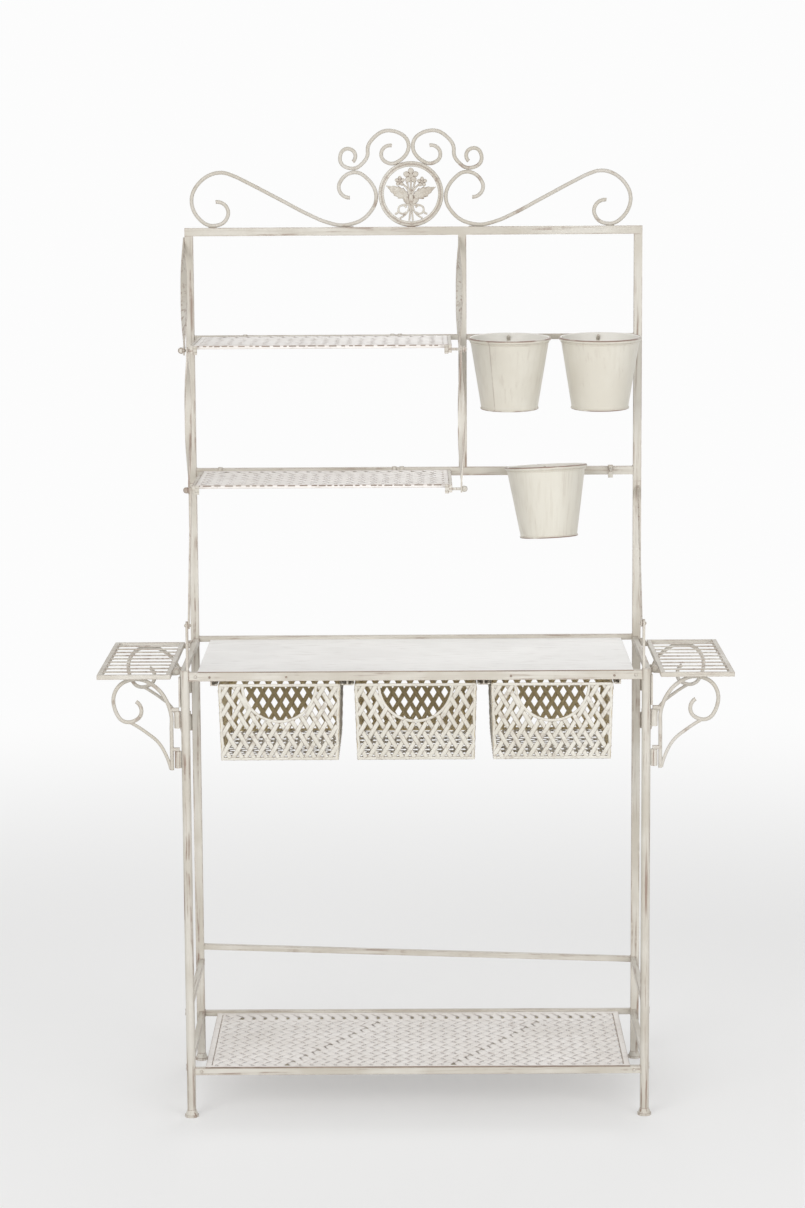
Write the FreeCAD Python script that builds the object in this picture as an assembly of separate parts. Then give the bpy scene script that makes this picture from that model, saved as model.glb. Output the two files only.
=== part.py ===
import FreeCAD, Part
import math
import os

from FreeCAD import Vector

# A painted iron plant shelf: a tall back frame with a scrolled crest, a table with three
# sliding baskets, a low shelf, two hanging shelves, three hanging pots and two lifting side
# flaps on swinging scroll brackets. Millimetres, +Z up, front towards -Y, origin on the floor
# under the middle of the whole outline.

# Frame
rear_span = 830.0
leg_set_in = 6.0
frame_depth = 360.0
table_height = 816.0
middle_shelf_rise = 316.0
shelf_spacing = 250.0
top_rail_rise = 196.0
lower_shelf_height = 91.0
guard_height = 194.0
guard_rise = 28.0
post_joint_drop = 20.0
pot_bay_width = 325.0
post_size = 15.0
rail_size = 10.0
rear_rail_rise = 1.0
side_rail_drop = 3.0
tube_wall = 1.2
plug_length = 40.0
fit_clearance = 0.3
pin_clearance = 0.1
straight_limit = 0.001
weld_gap = 0.2
cut_overrun = 5.0

# Front legs, their tabs and the feet
leg_diameter = 16.0
leg_rise = 2.0
tab_height = 88.0
tab_width = 15.0
tab_thickness = 4.0
foot_diameter = 25.0
foot_height = 13.0
foot_ring_height = 4.0
foot_step = 1.0

# Table and lower shelf
sheet_thickness = 1.0
table_edge_gap = 15.0
table_rail_height = 16.0
lower_edge_gap = 18.0
lower_rail_height = 13.0
strip_width = 12.0
strip_thickness = 3.0

# Hanging shelves, their arms and braces
shelf_depth = 240.0
shelf_fold = 6.5
arm_width = 12.0
arm_thickness = 3.0
arm_inset = 11.5
arm_top_drop = 18.0
arm_twist_steps = 12
arm_pad = 22.0
side_bar_size = 6.0
side_bar_height = 14.0
bolt_drop = 5.0
mid_bolt_gap = 12.0
left_bolt_gap = 5.5
bolt_diameter = 5.0
bolt_inset = 8.0
ball_diameter = 11.5
nut_diameter = 8.4
nut_length = 7.0
wing_reach = 8.0
wing_thickness = 2.2
rivet_diameter = 6.0
brace_drop = 14.0
brace_top_shift = 3.0
brace_ease = 0.4

# Baskets and their runners
basket_count = 3
runner_inset = 23.0
basket_gap = 26.0
basket_taper = 4.0
basket_height = 137.0
basket_depth = 285.0
basket_overhang = 6.0
basket_wall = 1.2
basket_seam = 0.2
lip_width = 8.0
cutout_width = 127.0
cutout_depth = 64.0
runner_web = 3.0
runner_drop = 26.0
runner_flange = 8.5
flange_thickness = 2.0
cell_width = 21.5
cell_height = 36.0
hole_width = 12.0
hole_height = 18.0
lattice_margin = 7.0

# Pots and hooks
pot_top_diameter = 146.0
pot_base_diameter = 103.0
pot_height = 132.0
pot_wall = 1.0
pot_bead = 2.6
hook_width = 9.0
hook_height = 24.0
hook_thickness = 2.5
peg_diameter = 5.0
peg_length = 15.0
peg_angle = 35.0
peg_clearance = 0.6
pot_gap = 4.0
pot_hole_drop = 11.0
upper_pot_left_inset = 240.0
upper_pot_right_inset = 74.0
upper_peg_drop = 6.0
lower_pot_inset = 173.0
spare_hook_inset = 50.0
upper_pot_lean = 2.5
lower_pot_lean = -4.0
lower_pot_roll = -2.5

# Side flaps
flap_width = 130.0
flap_top_rise = 1.3
flap_overhang = 25.0
flap_rear_gap = 20.0
flap_bar = 8.0
slat_count = 9
slat_width = 7.0
slat_thickness = 2.0
hinge_rail_gap = 1.0
hinge_bar_gap = 2.0
hinge_eye_diameter = 13.0
hinge_eye_length = 10.0
hinge_pin_diameter = 6.0
hinge_pin_head = 2.0
lug_thickness = 5.0
hinge_inset = 22.0
hinge_post_thickness = 3.0
hinge_post_gap = 8.0

# Scroll brackets
bracket_rod = 7.0
bracket_reach = 110.0
bracket_height = 164.0
barrel_diameter = 12.0
barrel_height = 30.0
upper_barrel_rise = 76.0
lower_barrel_rise = 4.0
pin_diameter = 6.0
pin_depth = 24.0
rod_offset = 11.0

# Crest
crest_rod = 7.0
crest_inset = 10.0
crest_shift = -4.0
big_scroll_drop = 22.8
top_scroll_width = 126.8
top_scroll_height = 68.0
ring_gap = 0.6
ring_diameter = 120.0
ring_band = 10.0
ring_thickness = 8.0
ring_edge = 2.0

# Bouquet inside the crest ring
flower_diameter = 22.0
flower_thickness = 4.0
flower_heart = 7.0
stem_diameter = 4.0
leaf_width = 11.0
leaf_thickness = 3.0
ribbon_diameter = 15.0
ribbon_rod = 4.0
base_width = 46.0
base_height = 12.0

# Scroll paths from end to end, across and up, as shares of their own reach and height
big_scroll_shares = (
    (0.869, 0.451), (0.803, 0.284), (0.817, 0.103), (0.884, 0.002), (0.974, 0.195),
    (1.000, 0.482), (0.950, 0.839), (0.837, 1.002), (0.765, 0.931), (0.709, 0.835),
    (0.531, 0.508), (0.353, 0.181), (0.287, 0.079), (0.166, 0.002), (0.050, 0.177),
    (0.000, 0.534), (0.038, 0.839), (0.112, 0.993), (0.183, 0.876), (0.202, 0.692),
    (0.143, 0.517),
)
top_scroll_shares = (
    (0.813, 0.181), (0.781, 0.394), (0.890, 0.532), (1.000, 0.246), (0.813, -0.001),
    (0.639, 0.207), (0.558, 0.713), (0.284, 1.012), (0.002, 0.571), (0.122, 0.220),
    (0.274, 0.129), (0.400, 0.337), (0.245, 0.609),
)
bracket_scroll_shares = (
    (0.564, 0.756), (0.482, 0.634), (0.673, 0.530), (0.927, 0.726), (0.845, 0.920),
    (0.600, 1.000), (0.230, 0.905), (0.080, 0.770), (0.000, 0.600), (0.000, 0.450),
    (0.000, 0.300), (0.000, 0.000),
)
bracket_strut_shares = ((0.673, 0.530), (0.427, 0.425), (0.210, 0.300), (0.080, 0.140), (0.020, 0.010))
strut_share = 0.85
hook_top_share = 0.45
lower_hook_top_share = 0.2
# Places in the bouquet, as shares of the ring's radius
flower_shares = ((0.00, 0.62), (-0.34, 0.42), (0.36, 0.40))
leaf_tip_shares = (0.74, 0.24)
knot_shares = (0.00, -0.16)
knot_share = 1.2
petal_count = 5
petal_notch_share = 0.62
ball_flat_share = 0.4

# Places worked out from the sizes above
middle_shelf_height = table_height + middle_shelf_rise
upper_shelf_height = middle_shelf_height + shelf_spacing
middle_bolt_height = middle_shelf_height - bolt_drop
upper_bolt_height = upper_shelf_height - bolt_drop
upper_peg_height = upper_shelf_height - upper_peg_drop
top_rail_height = upper_shelf_height + top_rail_rise
post_joint_height = middle_shelf_height - post_joint_drop
rear_y = (frame_depth + flap_overhang - foot_diameter / 2) / 2
front_y = rear_y - frame_depth
half_rear = rear_span / 2
half_front = half_rear - leg_set_in
mid_post_x = half_rear - pot_bay_width
half_post = post_size / 2
half_rail = rail_size / 2
leg_radius = leg_diameter / 2
post_face_y = rear_y - half_post
rail_face_y = rear_y - half_rail
leg_top = table_height + leg_rise
top_rail_top = top_rail_height + half_post
table_underside = table_height - sheet_thickness
shelf_front_y = rail_face_y - shelf_depth
bolt_y = shelf_front_y - bolt_inset
left_arm_x = arm_inset - half_rear
mid_arm_x = mid_post_x - half_post + arm_thickness / 2
left_bar_x = left_arm_x + 1.5 * arm_thickness
mid_bar_x = mid_arm_x - 1.5 * arm_thickness - mid_bolt_gap
side_rail_x = (half_rear + half_front) / 2
side_rail_outer = side_rail_x + half_rail
side_rail_height = table_height - side_rail_drop
table_half_width = half_front - leg_radius - table_edge_gap
lower_half_width = half_front - leg_radius - lower_edge_gap
basket_pitch = 2 * (table_half_width - runner_inset) / basket_count
basket_top_width = basket_pitch - basket_gap
upper_pot_left_x = half_rear - upper_pot_left_inset
upper_pot_right_x = half_rear - upper_pot_right_inset
lower_pot_x = half_rear - lower_pot_inset
spare_hook_x = half_rear - spare_hook_inset
crest_half_span = half_rear - crest_inset
crest_bed = top_rail_top + weld_gap + crest_rod / 2
ring_side = ring_diameter / 2 + ring_gap + crest_rod / 2
big_scroll_height = ring_diameter - big_scroll_drop
top_scroll_bed = crest_bed + big_scroll_height + crest_rod - ring_gap
hinge_x = side_rail_outer + hinge_rail_gap + hinge_eye_diameter / 2
hinge_height = side_rail_height
flap_inner_x = hinge_x + hinge_eye_diameter / 2 + hinge_bar_gap
flap_half_reach = flap_inner_x + flap_width
flap_front_y = front_y - flap_overhang
flap_rear_y = rear_y - flap_rear_gap
flap_top = hinge_height + flap_top_rise
flap_bottom = flap_top - flap_bar
bracket_top = flap_bottom - fit_clearance
bracket_foot_height = bracket_top - bracket_rod / 2 - bracket_height
flange_top = table_underside - runner_drop + flange_thickness
lip_bottom = flange_top + fit_clearance
basket_top = lip_bottom + basket_wall
basket_bottom = basket_top - basket_height
basket_front_y = front_y - basket_overhang
basket_bottom_width = basket_top_width - 2 * basket_taper
basket_slant = math.hypot(basket_taper, basket_height)
basket_tilt = math.degrees(math.atan2(basket_taper, basket_height))
peg_direction = Vector(0, -math.cos(math.radians(peg_angle)), math.sin(math.radians(peg_angle)))
X, Y, Z = Vector(1, 0, 0), Vector(0, 1, 0), Vector(0, 0, 1)
left, right = -1, 1

os.makedirs("parts", exist_ok=True)


def export(node, *solids):
    """Write one node, a single solid or a group of separate solids."""
    shape = solids[0] if len(solids) == 1 else Part.makeCompound(list(solids))
    shape.exportStep(f"parts/{node}.step")
    print(node, len(solids), round(sum(s.Volume for s in solids)))


def side_name(side):
    return "left" if side == left else "right"


def block(x0, x1, y0, y1, z0, z1):
    """A box between two opposite corners, given in any order."""
    low = Vector(min(x0, x1), min(y0, y1), min(z0, z1))
    return Part.makeBox(abs(x1 - x0), abs(y1 - y0), abs(z1 - z0), low)


def beam(start, end, size, height=None):
    """A straight solid bar along X, Y or Z with a rectangular section."""
    height = size if height is None else height
    run = end - start
    half = {"X": (0, size / 2, height / 2), "Y": (size / 2, 0, height / 2), "Z": (size / 2, height / 2, 0)}
    axis = "X" if abs(run.x) > 0 else "Y" if abs(run.y) > 0 else "Z"
    grow = Vector(*half[axis])
    low, high = start - grow, end + grow
    return block(low.x, high.x, low.y, high.y, low.z, high.z)


def square_tube(start, end, size):
    """A hollow square tube, open at both ends."""
    return beam(start, end, size).cut(beam(start, end, size - 2 * tube_wall))


def plate(points, vector):
    """A flat outline of straight runs, thickened along a vector."""
    return Part.Face(Part.makePolygon(list(points) + [points[0]])).extrude(vector)


def circle_direction(before, here, after):
    """Direction of the circle through three points, at the middle one."""
    first, second = here - before, after - here
    total = first * (1 / first.dot(first)) + second * (1 / second.dot(second))
    return total.normalize()


def mirrored_direction(direction, chord):
    """Direction at the other end of an arc with the given chord."""
    along = Vector(chord).normalize()
    return along * (2 * direction.dot(along)) - direction


def arc_edge(start, end, direction):
    """An arc from start to end that leaves start in the given direction."""
    chord = end - start
    along = Vector(chord).normalize()
    aside = direction - along * direction.dot(along)
    bulge = chord.Length / 2 * math.tan(direction.getAngle(along) / 2)
    if bulge < straight_limit:
        return Part.LineSegment(start, end).toShape()
    return Part.Arc(start, (start + end) * 0.5 + aside.normalize() * bulge, end).toShape()


def smooth_wire(points):
    """A wire of tangent arcs, two between each pair of points."""
    inner = [circle_direction(*points[i - 1:i + 2]) for i in range(1, len(points) - 1)]
    first = mirrored_direction(inner[0], points[1] - points[0])
    last = mirrored_direction(inner[-1], points[-1] - points[-2])
    directions = [first] + inner + [last]
    edges = []
    for start, end, out, into in zip(points, points[1:], directions, directions[1:]):
        run = end - start
        lean = run.dot(out + into)
        spread = 2 * (1 - out.dot(into))
        reach = run.dot(run) / (lean + math.sqrt(lean * lean + spread * run.dot(run)))
        joint = (start + end + (out - into) * reach) * 0.5
        edges.append(arc_edge(start, joint, out))
        edges.append(arc_edge(joint, end, mirrored_direction(into, end - joint)))
    return Part.Wire(edges)


def rod(points, diameter):
    """A round rod bent along tangent arcs through the points."""
    wire = smooth_wire(points)
    first = wire.OrderedEdges[0]
    section = Part.Wire(Part.makeCircle(diameter / 2, points[0], first.tangentAt(first.FirstParameter)))
    return wire.makePipeShell([section], True, False)


def cylinder(start, end, diameter):
    run = end - start
    return Part.makeCylinder(diameter / 2, run.Length, start, run)


def dome(base, direction, diameter):
    """A half ball standing on a flat face."""
    return Part.makeSphere(diameter / 2, base, direction, 0, 90, 360)


def strap(start, end, width, thickness):
    """A flat bar with round ends, standing in a plane across X."""
    along = (end - start).normalize()
    aside = X.cross(along) * (width / 2)
    tip = along * (width / 2)
    edges = [
        Part.LineSegment(start + aside, end + aside).toShape(),
        Part.Arc(end + aside, end + tip, end - aside).toShape(),
        Part.LineSegment(end - aside, start - aside).toShape(),
        Part.Arc(start - aside, start - tip, start + aside).toShape(),
    ]
    return Part.Face(Part.Wire(edges)).extrude(X * thickness)


def twisted_bar(start, end):
    """A flat bar with half a turn of twist between two flat ends, each in its own plane across X."""
    offset = X * (end.x - start.x)
    run = end - start - offset
    length = run.Length
    along = run.normalize()
    aside = X.cross(along)
    stations = [(0, 0)]
    for i in range(arm_twist_steps + 1):
        stations.append((arm_pad + (length - 2 * arm_pad) * i / arm_twist_steps, i / arm_twist_steps))
    stations.append((length, 1))
    sections = []
    for distance, share in stations:
        turn = math.pi * share
        wide = (aside * math.cos(turn) + X * math.sin(turn)) * (arm_width / 2)
        thick = (X * math.cos(turn) - aside * math.sin(turn)) * (arm_thickness / 2)
        middle = start + along * distance + offset * share
        corners = [middle + wide + thick, middle - wide + thick, middle - wide - thick, middle + wide - thick]
        sections.append(Part.makePolygon(corners + corners[:1]))
    return Part.makeLoft(sections, True, True)


def leg_cylinder(side):
    """The outside of a front leg, also used to cope the rails that meet it."""
    x = side * half_front
    return cylinder(Vector(x, front_y, foot_height), Vector(x, front_y, leg_top), leg_diameter)


def rear_frame():
    for side in (left, right):
        x = side * half_rear
        foot, joint = Vector(x, rear_y, foot_height), Vector(x, rear_y, post_joint_height)
        export(f"rear_leg_{side_name(side)}", square_tube(foot, joint, post_size))
        bore = post_size - 2 * tube_wall
        top = Vector(x, rear_y, top_rail_height - half_post)
        post = beam(joint, top, post_size).cut(beam(joint + Z * tube_wall, top + Z * cut_overrun, bore))
        plug = beam(joint - Z * plug_length, joint, bore - 2 * fit_clearance)
        export(f"upper_post_{side_name(side)}", post.fuse(plug))
    inner = half_rear - half_post
    level = Vector(0, rear_y, middle_shelf_height)
    export("lower_cross_rail", square_tube(level - X * inner, level + X * inner, post_size))
    mid_foot = Vector(mid_post_x, rear_y, middle_shelf_height + half_post)
    mid_top = Vector(mid_post_x, rear_y, top_rail_height - half_post)
    export("mid_post", square_tube(mid_foot, mid_top, post_size))
    level = Vector(0, rear_y, upper_shelf_height)
    spans = ((-inner, mid_post_x - half_post), (mid_post_x + half_post, inner))
    export("upper_cross_rail", *[square_tube(level + X * a, level + X * b, rail_size) for a, b in spans])
    level, reach = Vector(0, rear_y, top_rail_height), half_rear + half_post
    export("top_rail", square_tube(level - X * reach, level + X * reach, post_size))
    level = Vector(0, rear_y, table_height + rear_rail_rise)
    export("rear_table_rail", square_tube(level - X * inner, level + X * inner, rail_size))
    level = Vector(0, rear_y, lower_shelf_height)
    export("rear_lower_rail", square_tube(level - X * inner, level + X * inner, rail_size))
    low, high = guard_height - half_rail, guard_height + half_rail
    ends = ((-inner, low + guard_rise), (inner, low), (inner, high), (-inner, high + guard_rise))
    export("rear_guard_rail", plate([Vector(x, rail_face_y, z) for x, z in ends], Y * rail_size))


def front_legs_and_rails():
    for side in (left, right):
        leg = leg_cylinder(side)
        x = side * half_front
        foot, top = Vector(x, front_y, foot_height), Vector(x, front_y, leg_top)
        bore = cylinder(foot - Z * cut_overrun, top - Z * tube_wall, leg_diameter - 2 * tube_wall)
        export(f"front_leg_{side_name(side)}", leg.cut(bore))
    heights = {"table": side_rail_height, "guard": guard_height, "lower": lower_shelf_height}
    for name, height in heights.items():
        rails = []
        for side in (left, right):
            x = side * side_rail_x
            rail = beam(Vector(x, front_y, height), Vector(x, post_face_y, height), rail_size)
            rails.append(rail.cut(leg_cylinder(side)))
        export(f"{name}_side_rails", *rails)
    fronts = {"table": (table_underside, table_rail_height), "lower": (lower_shelf_height, lower_rail_height)}
    for name, (top, height) in fronts.items():
        rail = block(-half_front, half_front, front_y - half_rail, front_y + half_rail, top - height, top)
        export(f"{name}_front_rail", rail.cut(leg_cylinder(left)).cut(leg_cylinder(right)))


def feet():
    solids = []
    for span, y in ((half_front, front_y), (half_rear, rear_y)):
        for side in (left, right):
            base = Vector(side * span, y, 0)
            ring = cylinder(base, base + Z * foot_ring_height, foot_diameter)
            neck = foot_diameter / 2 - (foot_height - foot_ring_height) / 2
            cone = Part.makeCone(foot_diameter / 2 - foot_step, max(neck, post_size / 2),
                                 foot_height - foot_ring_height, base + Z * foot_ring_height)
            solids.append(ring.fuse(cone))
    export("feet", *solids)


def lap_point():
    """Height of the rivet that joins a brace to its leg tab."""
    return leg_top + tab_height - tab_width / 2


def leg_tabs_and_braces():
    tabs, rivets = [], []
    tab_inner = abs(left_arm_x) - arm_thickness / 2
    tab_outer = tab_inner + tab_thickness
    for side in (left, right):
        x = -tab_outer if side == left else tab_inner
        top = Vector(x, front_y, lap_point())
        tab = strap(Vector(x, front_y, leg_top - tab_width), top, tab_width, tab_thickness)
        floor = block(x, x + tab_thickness, front_y - tab_width, front_y + tab_width,
                      leg_top - 2 * tab_width, leg_top)
        tabs.append(tab.cut(floor))
        rivets.append(dome(Vector(side * tab_outer, front_y, lap_point()), X * side, rivet_diameter))
        ease = weld_gap if side == left else weld_gap + brace_ease
        inner = side * (tab_inner - arm_thickness - ease)
        rivets.append(dome(Vector(inner, front_y, lap_point()), X * -side, rivet_diameter))
        for height in (table_underside - table_rail_height / 2, lower_shelf_height - lower_rail_height / 2):
            x = side * (half_front - leg_diameter - rivet_diameter / 2)
            rivets.append(dome(Vector(x, front_y - half_rail, height), -Y, rivet_diameter))
    export("leg_tabs", *tabs)
    export("frame_rivets", *rivets)
    start, end = Vector(-tab_inner, bolt_y, middle_bolt_height), Vector(-tab_inner, front_y, lap_point())
    brace = strap(start, end, arm_width, arm_thickness)
    export("brace_left", brace.cut(bolt_hole(middle_bolt_height)))
    export("brace_right", leaning_brace(tab_inner - brace_ease))


def leaning_brace(outer):
    """The right brace: it leans outwards from its leg tab to the face of the post."""
    x = outer - arm_thickness
    start, end = Vector(x, post_face_y, post_joint_height - brace_drop), Vector(x, front_y, lap_point())
    lean = math.atan2(half_rear + brace_top_shift - outer, post_face_y - front_y)
    brace = strap(start, end, arm_width, arm_thickness)
    brace.rotate(Vector(outer, front_y, 0), Z, -math.degrees(lean))
    return brace.cut(block(0, rear_span, post_face_y, rear_y, 0, top_rail_height))


def bolt_hole(height):
    """Clearance hole across the whole width at a shelf bolt."""
    start = Vector(-rear_span, bolt_y, height)
    return cylinder(start, start + X * (2 * rear_span), bolt_diameter + 2 * fit_clearance)


def shelf_arms():
    """Each arm has two lengths: from a post to the upper shelf, and from there to the middle shelf."""
    holes = bolt_hole(upper_bolt_height).fuse(bolt_hole(middle_bolt_height))
    wall = block(mid_post_x - post_size, rear_span, post_face_y, rear_y + half_post, 0, 2 * top_rail_height)
    beside_post = -half_rear - half_post - weld_gap - arm_thickness / 2
    root_height = top_rail_height - arm_top_drop
    roots = {"left": Vector(beside_post, rear_y, root_height),
             "mid": Vector(mid_arm_x, post_face_y, root_height)}
    for name, x, shift in (("left", left_arm_x, -left_bolt_gap), ("mid", mid_arm_x, -arm_thickness)):
        high = Vector(x, bolt_y, upper_bolt_height)
        low = Vector(x, bolt_y, middle_bolt_height)
        beside = high + X * shift
        along = high - roots[name]
        along.x = 0
        tip = along.normalize() * (arm_width / 2)
        upper = twisted_bar(roots[name] - tip, beside + tip)
        half = Z * (arm_width / 2)
        lower = twisted_bar(high + half, low - half)
        export(f"shelf_arm_{name}", upper.cut(wall).cut(holes), lower.cut(holes))


def hanging_shelves():
    bars, bolts, nuts = [], [], []
    faces = {"upper": (upper_shelf_height, rail_face_y), "middle": (middle_shelf_height, post_face_y)}
    half_bar = side_bar_size / 2
    for name, (height, face) in faces.items():
        bar_front, top = bolt_y - half_bar, height + half_bar
        bolt_height = height - bolt_drop
        left_gap = left_bolt_gap if name == "upper" else 0
        for x, inward, gap in ((left_bar_x, X, left_gap), (mid_bar_x, -X, mid_bolt_gap)):
            far = x + inward.x * side_bar_size
            bar = block(x, far, bar_front, face, top - side_bar_height, top)
            bars.append(bar.cut(bolt_hole(bolt_height)))
            stack = 2 * arm_thickness + gap + weld_gap
            seat = Vector(x, bolt_y, bolt_height) - inward * stack
            bolts.append(ball_bolt(seat, inward, stack + side_bar_size + nut_length))
            nuts.append(wing_nut(Vector(far, bolt_y, bolt_height), inward))
        profile = (
            (face, top), (shelf_front_y, top), (shelf_front_y, top - shelf_fold),
            (shelf_front_y + sheet_thickness, top - shelf_fold),
            (shelf_front_y + sheet_thickness, top - sheet_thickness), (face, top - sheet_thickness),
        )
        start, end = left_bar_x + side_bar_size, mid_bar_x - side_bar_size
        export(f"{name}_shelf_sheet", plate([Vector(start, y, z) for y, z in profile], X * (end - start)))
    export("shelf_side_bars", *bars)
    export("ball_bolts", *bolts)
    export("wing_nuts", *nuts)


def ball_bolt(seat, inward, grip):
    """A ball-headed bolt whose flat side sits on the outermost bar."""
    radius = ball_diameter / 2
    flat = radius * (1 - ball_flat_share)
    latitude = math.degrees(math.asin(flat / radius))
    ball = Part.makeSphere(radius, seat - inward * flat, inward, -90, latitude, 360)
    return ball.fuse(cylinder(seat, seat + inward * grip, bolt_diameter))


def wing_nut(seat, inward):
    """A round nut with two upright wings."""
    body = cylinder(seat, seat + inward * nut_length, nut_diameter)
    half = Y * (wing_thickness / 2) + Z * wing_reach
    far = seat + inward * nut_length
    wings = block(seat.x, far.x, seat.y - half.y, seat.y + half.y, seat.z - half.z, seat.z + half.z)
    bore = cylinder(seat - inward * cut_overrun, far + inward * cut_overrun, bolt_diameter + 2 * weld_gap)
    return body.fuse(wings).cut(bore)


def table_and_lower_shelf():
    export("table_sheet", block(-table_half_width, table_half_width, front_y - half_rail, rail_face_y,
                                table_underside, table_height))
    export("lower_shelf_sheet", block(-lower_half_width, lower_half_width, front_y - half_rail, rail_face_y,
                                      lower_shelf_height, lower_shelf_height + sheet_thickness))
    strips = []
    for side in (left, right):
        strips.append(block(side * lower_half_width, side * (lower_half_width - strip_width),
                            front_y + half_rail, rail_face_y,
                            lower_shelf_height - strip_thickness, lower_shelf_height))
    export("lower_shelf_strips", *strips)


def basket_runners():
    """T-shaped runners between the baskets and L-shaped ones at the ends, under the table."""
    low = table_underside - runner_drop
    solids = []
    for i in range(basket_count + 1):
        x = (i - basket_count / 2) * basket_pitch
        reach_left = 0 if i == 0 else runner_flange
        reach_right = 0 if i == basket_count else runner_flange
        a, b = x - runner_web / 2, x + runner_web / 2
        web = block(a, b, front_y + half_rail, rail_face_y, low, table_underside)
        flange = block(a - reach_left, b + reach_right, front_y + half_rail, rail_face_y, low, flange_top)
        solids.append(web.fuse(flange).removeSplitter())
    export("basket_runners", *solids)


def lattice(bottom_width, top_width, height, cutout=False):
    """An upright panel of open diamonds, its face on XZ and its thickness along +Y."""
    corners = [Vector(-bottom_width / 2, 0, 0), Vector(bottom_width / 2, 0, 0),
               Vector(top_width / 2, 0, height)]
    last = Vector(-top_width / 2, 0, height)
    cut_radius = cutout_width / 2
    if cutout:
        a, b = Vector(cut_radius, 0, height), Vector(-cut_radius, 0, height)
        arc = Part.Arc(a, Vector(0, 0, height - cutout_depth), b).toShape()
        outline = Part.Wire(Part.makePolygon(corners + [a]).Edges + [arc]
                            + Part.makePolygon([b, last, corners[0]]).Edges)
    else:
        outline = Part.makePolygon(corners + [last, corners[0]])
    wires = [outline]
    rows = int((height - 2 * lattice_margin - hole_height) / (cell_height / 2)) + 1
    first = (height - (rows - 1) * cell_height / 2) / 2
    for row in range(rows):
        z = first + row * cell_height / 2
        width = bottom_width + (top_width - bottom_width) * z / height - 2 * lattice_margin - hole_width
        shift = row % 2
        count = int((width - shift * cell_width) / (2 * cell_width)) * 2 + 1 + shift
        for i in range(count):
            x = (i - (count - 1) / 2) * cell_width
            clear = math.hypot(x, z - height) > cut_radius + lattice_margin + hole_height / 2
            if clear or not cutout:
                wires.append(diamond(x, z))
    return Part.makeFace(wires, "Part::FaceMakerBullseye").extrude(Y * basket_wall)


def diamond(x, z):
    points = [Vector(x, 0, z - hole_height / 2), Vector(x + hole_width / 2, 0, z),
              Vector(x, 0, z + hole_height / 2), Vector(x - hole_width / 2, 0, z)]
    return Part.makePolygon(points + points[:1])


def baskets():
    """Tapered baskets: a front panel with a hand cut-out, and the other walls with two hanging lips."""
    bottom_depth = basket_depth - 2 * basket_taper
    names = ("left", "middle", "right")
    for i, name in enumerate(names):
        x = (i - (basket_count - 1) / 2) * basket_pitch
        front = lattice(basket_bottom_width, basket_top_width, basket_slant, True)
        front.rotate(Vector(), X, basket_tilt)
        front.translate(Vector(x, basket_front_y + basket_taper, basket_bottom))
        back = lattice(basket_bottom_width, basket_top_width, basket_slant)
        back.rotate(Vector(), Z, 180)
        back.rotate(Vector(), X, -basket_tilt)
        back.translate(Vector(x, basket_front_y + basket_depth - basket_taper, basket_bottom))
        seam = 2 * (basket_wall + basket_seam)
        walls = [back]
        middle_y = basket_front_y + basket_depth / 2
        for side in (left, right):
            wall = lattice(bottom_depth - seam, basket_depth - seam, basket_slant)
            wall.rotate(Vector(), Z, 90 * side)
            wall.rotate(Vector(), Y, basket_tilt * side)
            wall.translate(Vector(x + side * basket_bottom_width / 2, middle_y, basket_bottom))
            walls.append(wall)
            outer = x + side * (basket_top_width / 2 + lip_width)
            inner = x + side * (basket_top_width / 2 + basket_seam)
            walls.append(block(outer, inner, basket_front_y + basket_taper,
                               basket_front_y + basket_depth - basket_taper, lip_bottom, basket_top))
        floor = lattice(basket_bottom_width - seam, basket_bottom_width - seam, bottom_depth - seam)
        floor.rotate(Vector(), X, -90)
        floor.translate(Vector(x, middle_y - (bottom_depth - seam) / 2, basket_bottom + basket_wall))
        walls.append(floor)
        export(f"basket_{name}_front", front)
        export(f"basket_{name}_walls", *walls)


def pot_shell():
    """A tapered pot with a rolled rim and a bead round its base, standing at the origin."""
    base, top, rim = pot_base_diameter / 2, pot_top_diameter / 2, 2 * pot_bead
    slope = (top - base) / pot_height
    def at(radius, height):
        return Vector(radius, 0, height)
    inner_base = base + slope * pot_wall - pot_wall
    outline = [
        Part.LineSegment(at(0, 0), at(base, 0)).toShape(),
        Part.Arc(at(base, 0), at(base + pot_bead, pot_bead), at(base + slope * rim, rim)).toShape(),
        Part.LineSegment(at(base + slope * rim, rim), at(top - slope * rim, pot_height - rim)).toShape(),
        Part.Arc(at(top - slope * rim, pot_height - rim), at(top + pot_bead, pot_height - pot_bead),
                 at(top - pot_wall / 2, pot_height)).toShape(),
        Part.LineSegment(at(top - pot_wall / 2, pot_height), at(top - pot_wall, pot_height)).toShape(),
        Part.LineSegment(at(top - pot_wall, pot_height), at(inner_base, pot_wall)).toShape(),
        Part.LineSegment(at(inner_base, pot_wall), at(0, pot_wall)).toShape(),
        Part.LineSegment(at(0, pot_wall), at(0, 0)).toShape(),
    ]
    return Part.Face(Part.Wire(outline)).revolve(Vector(), Z, 360)


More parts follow.
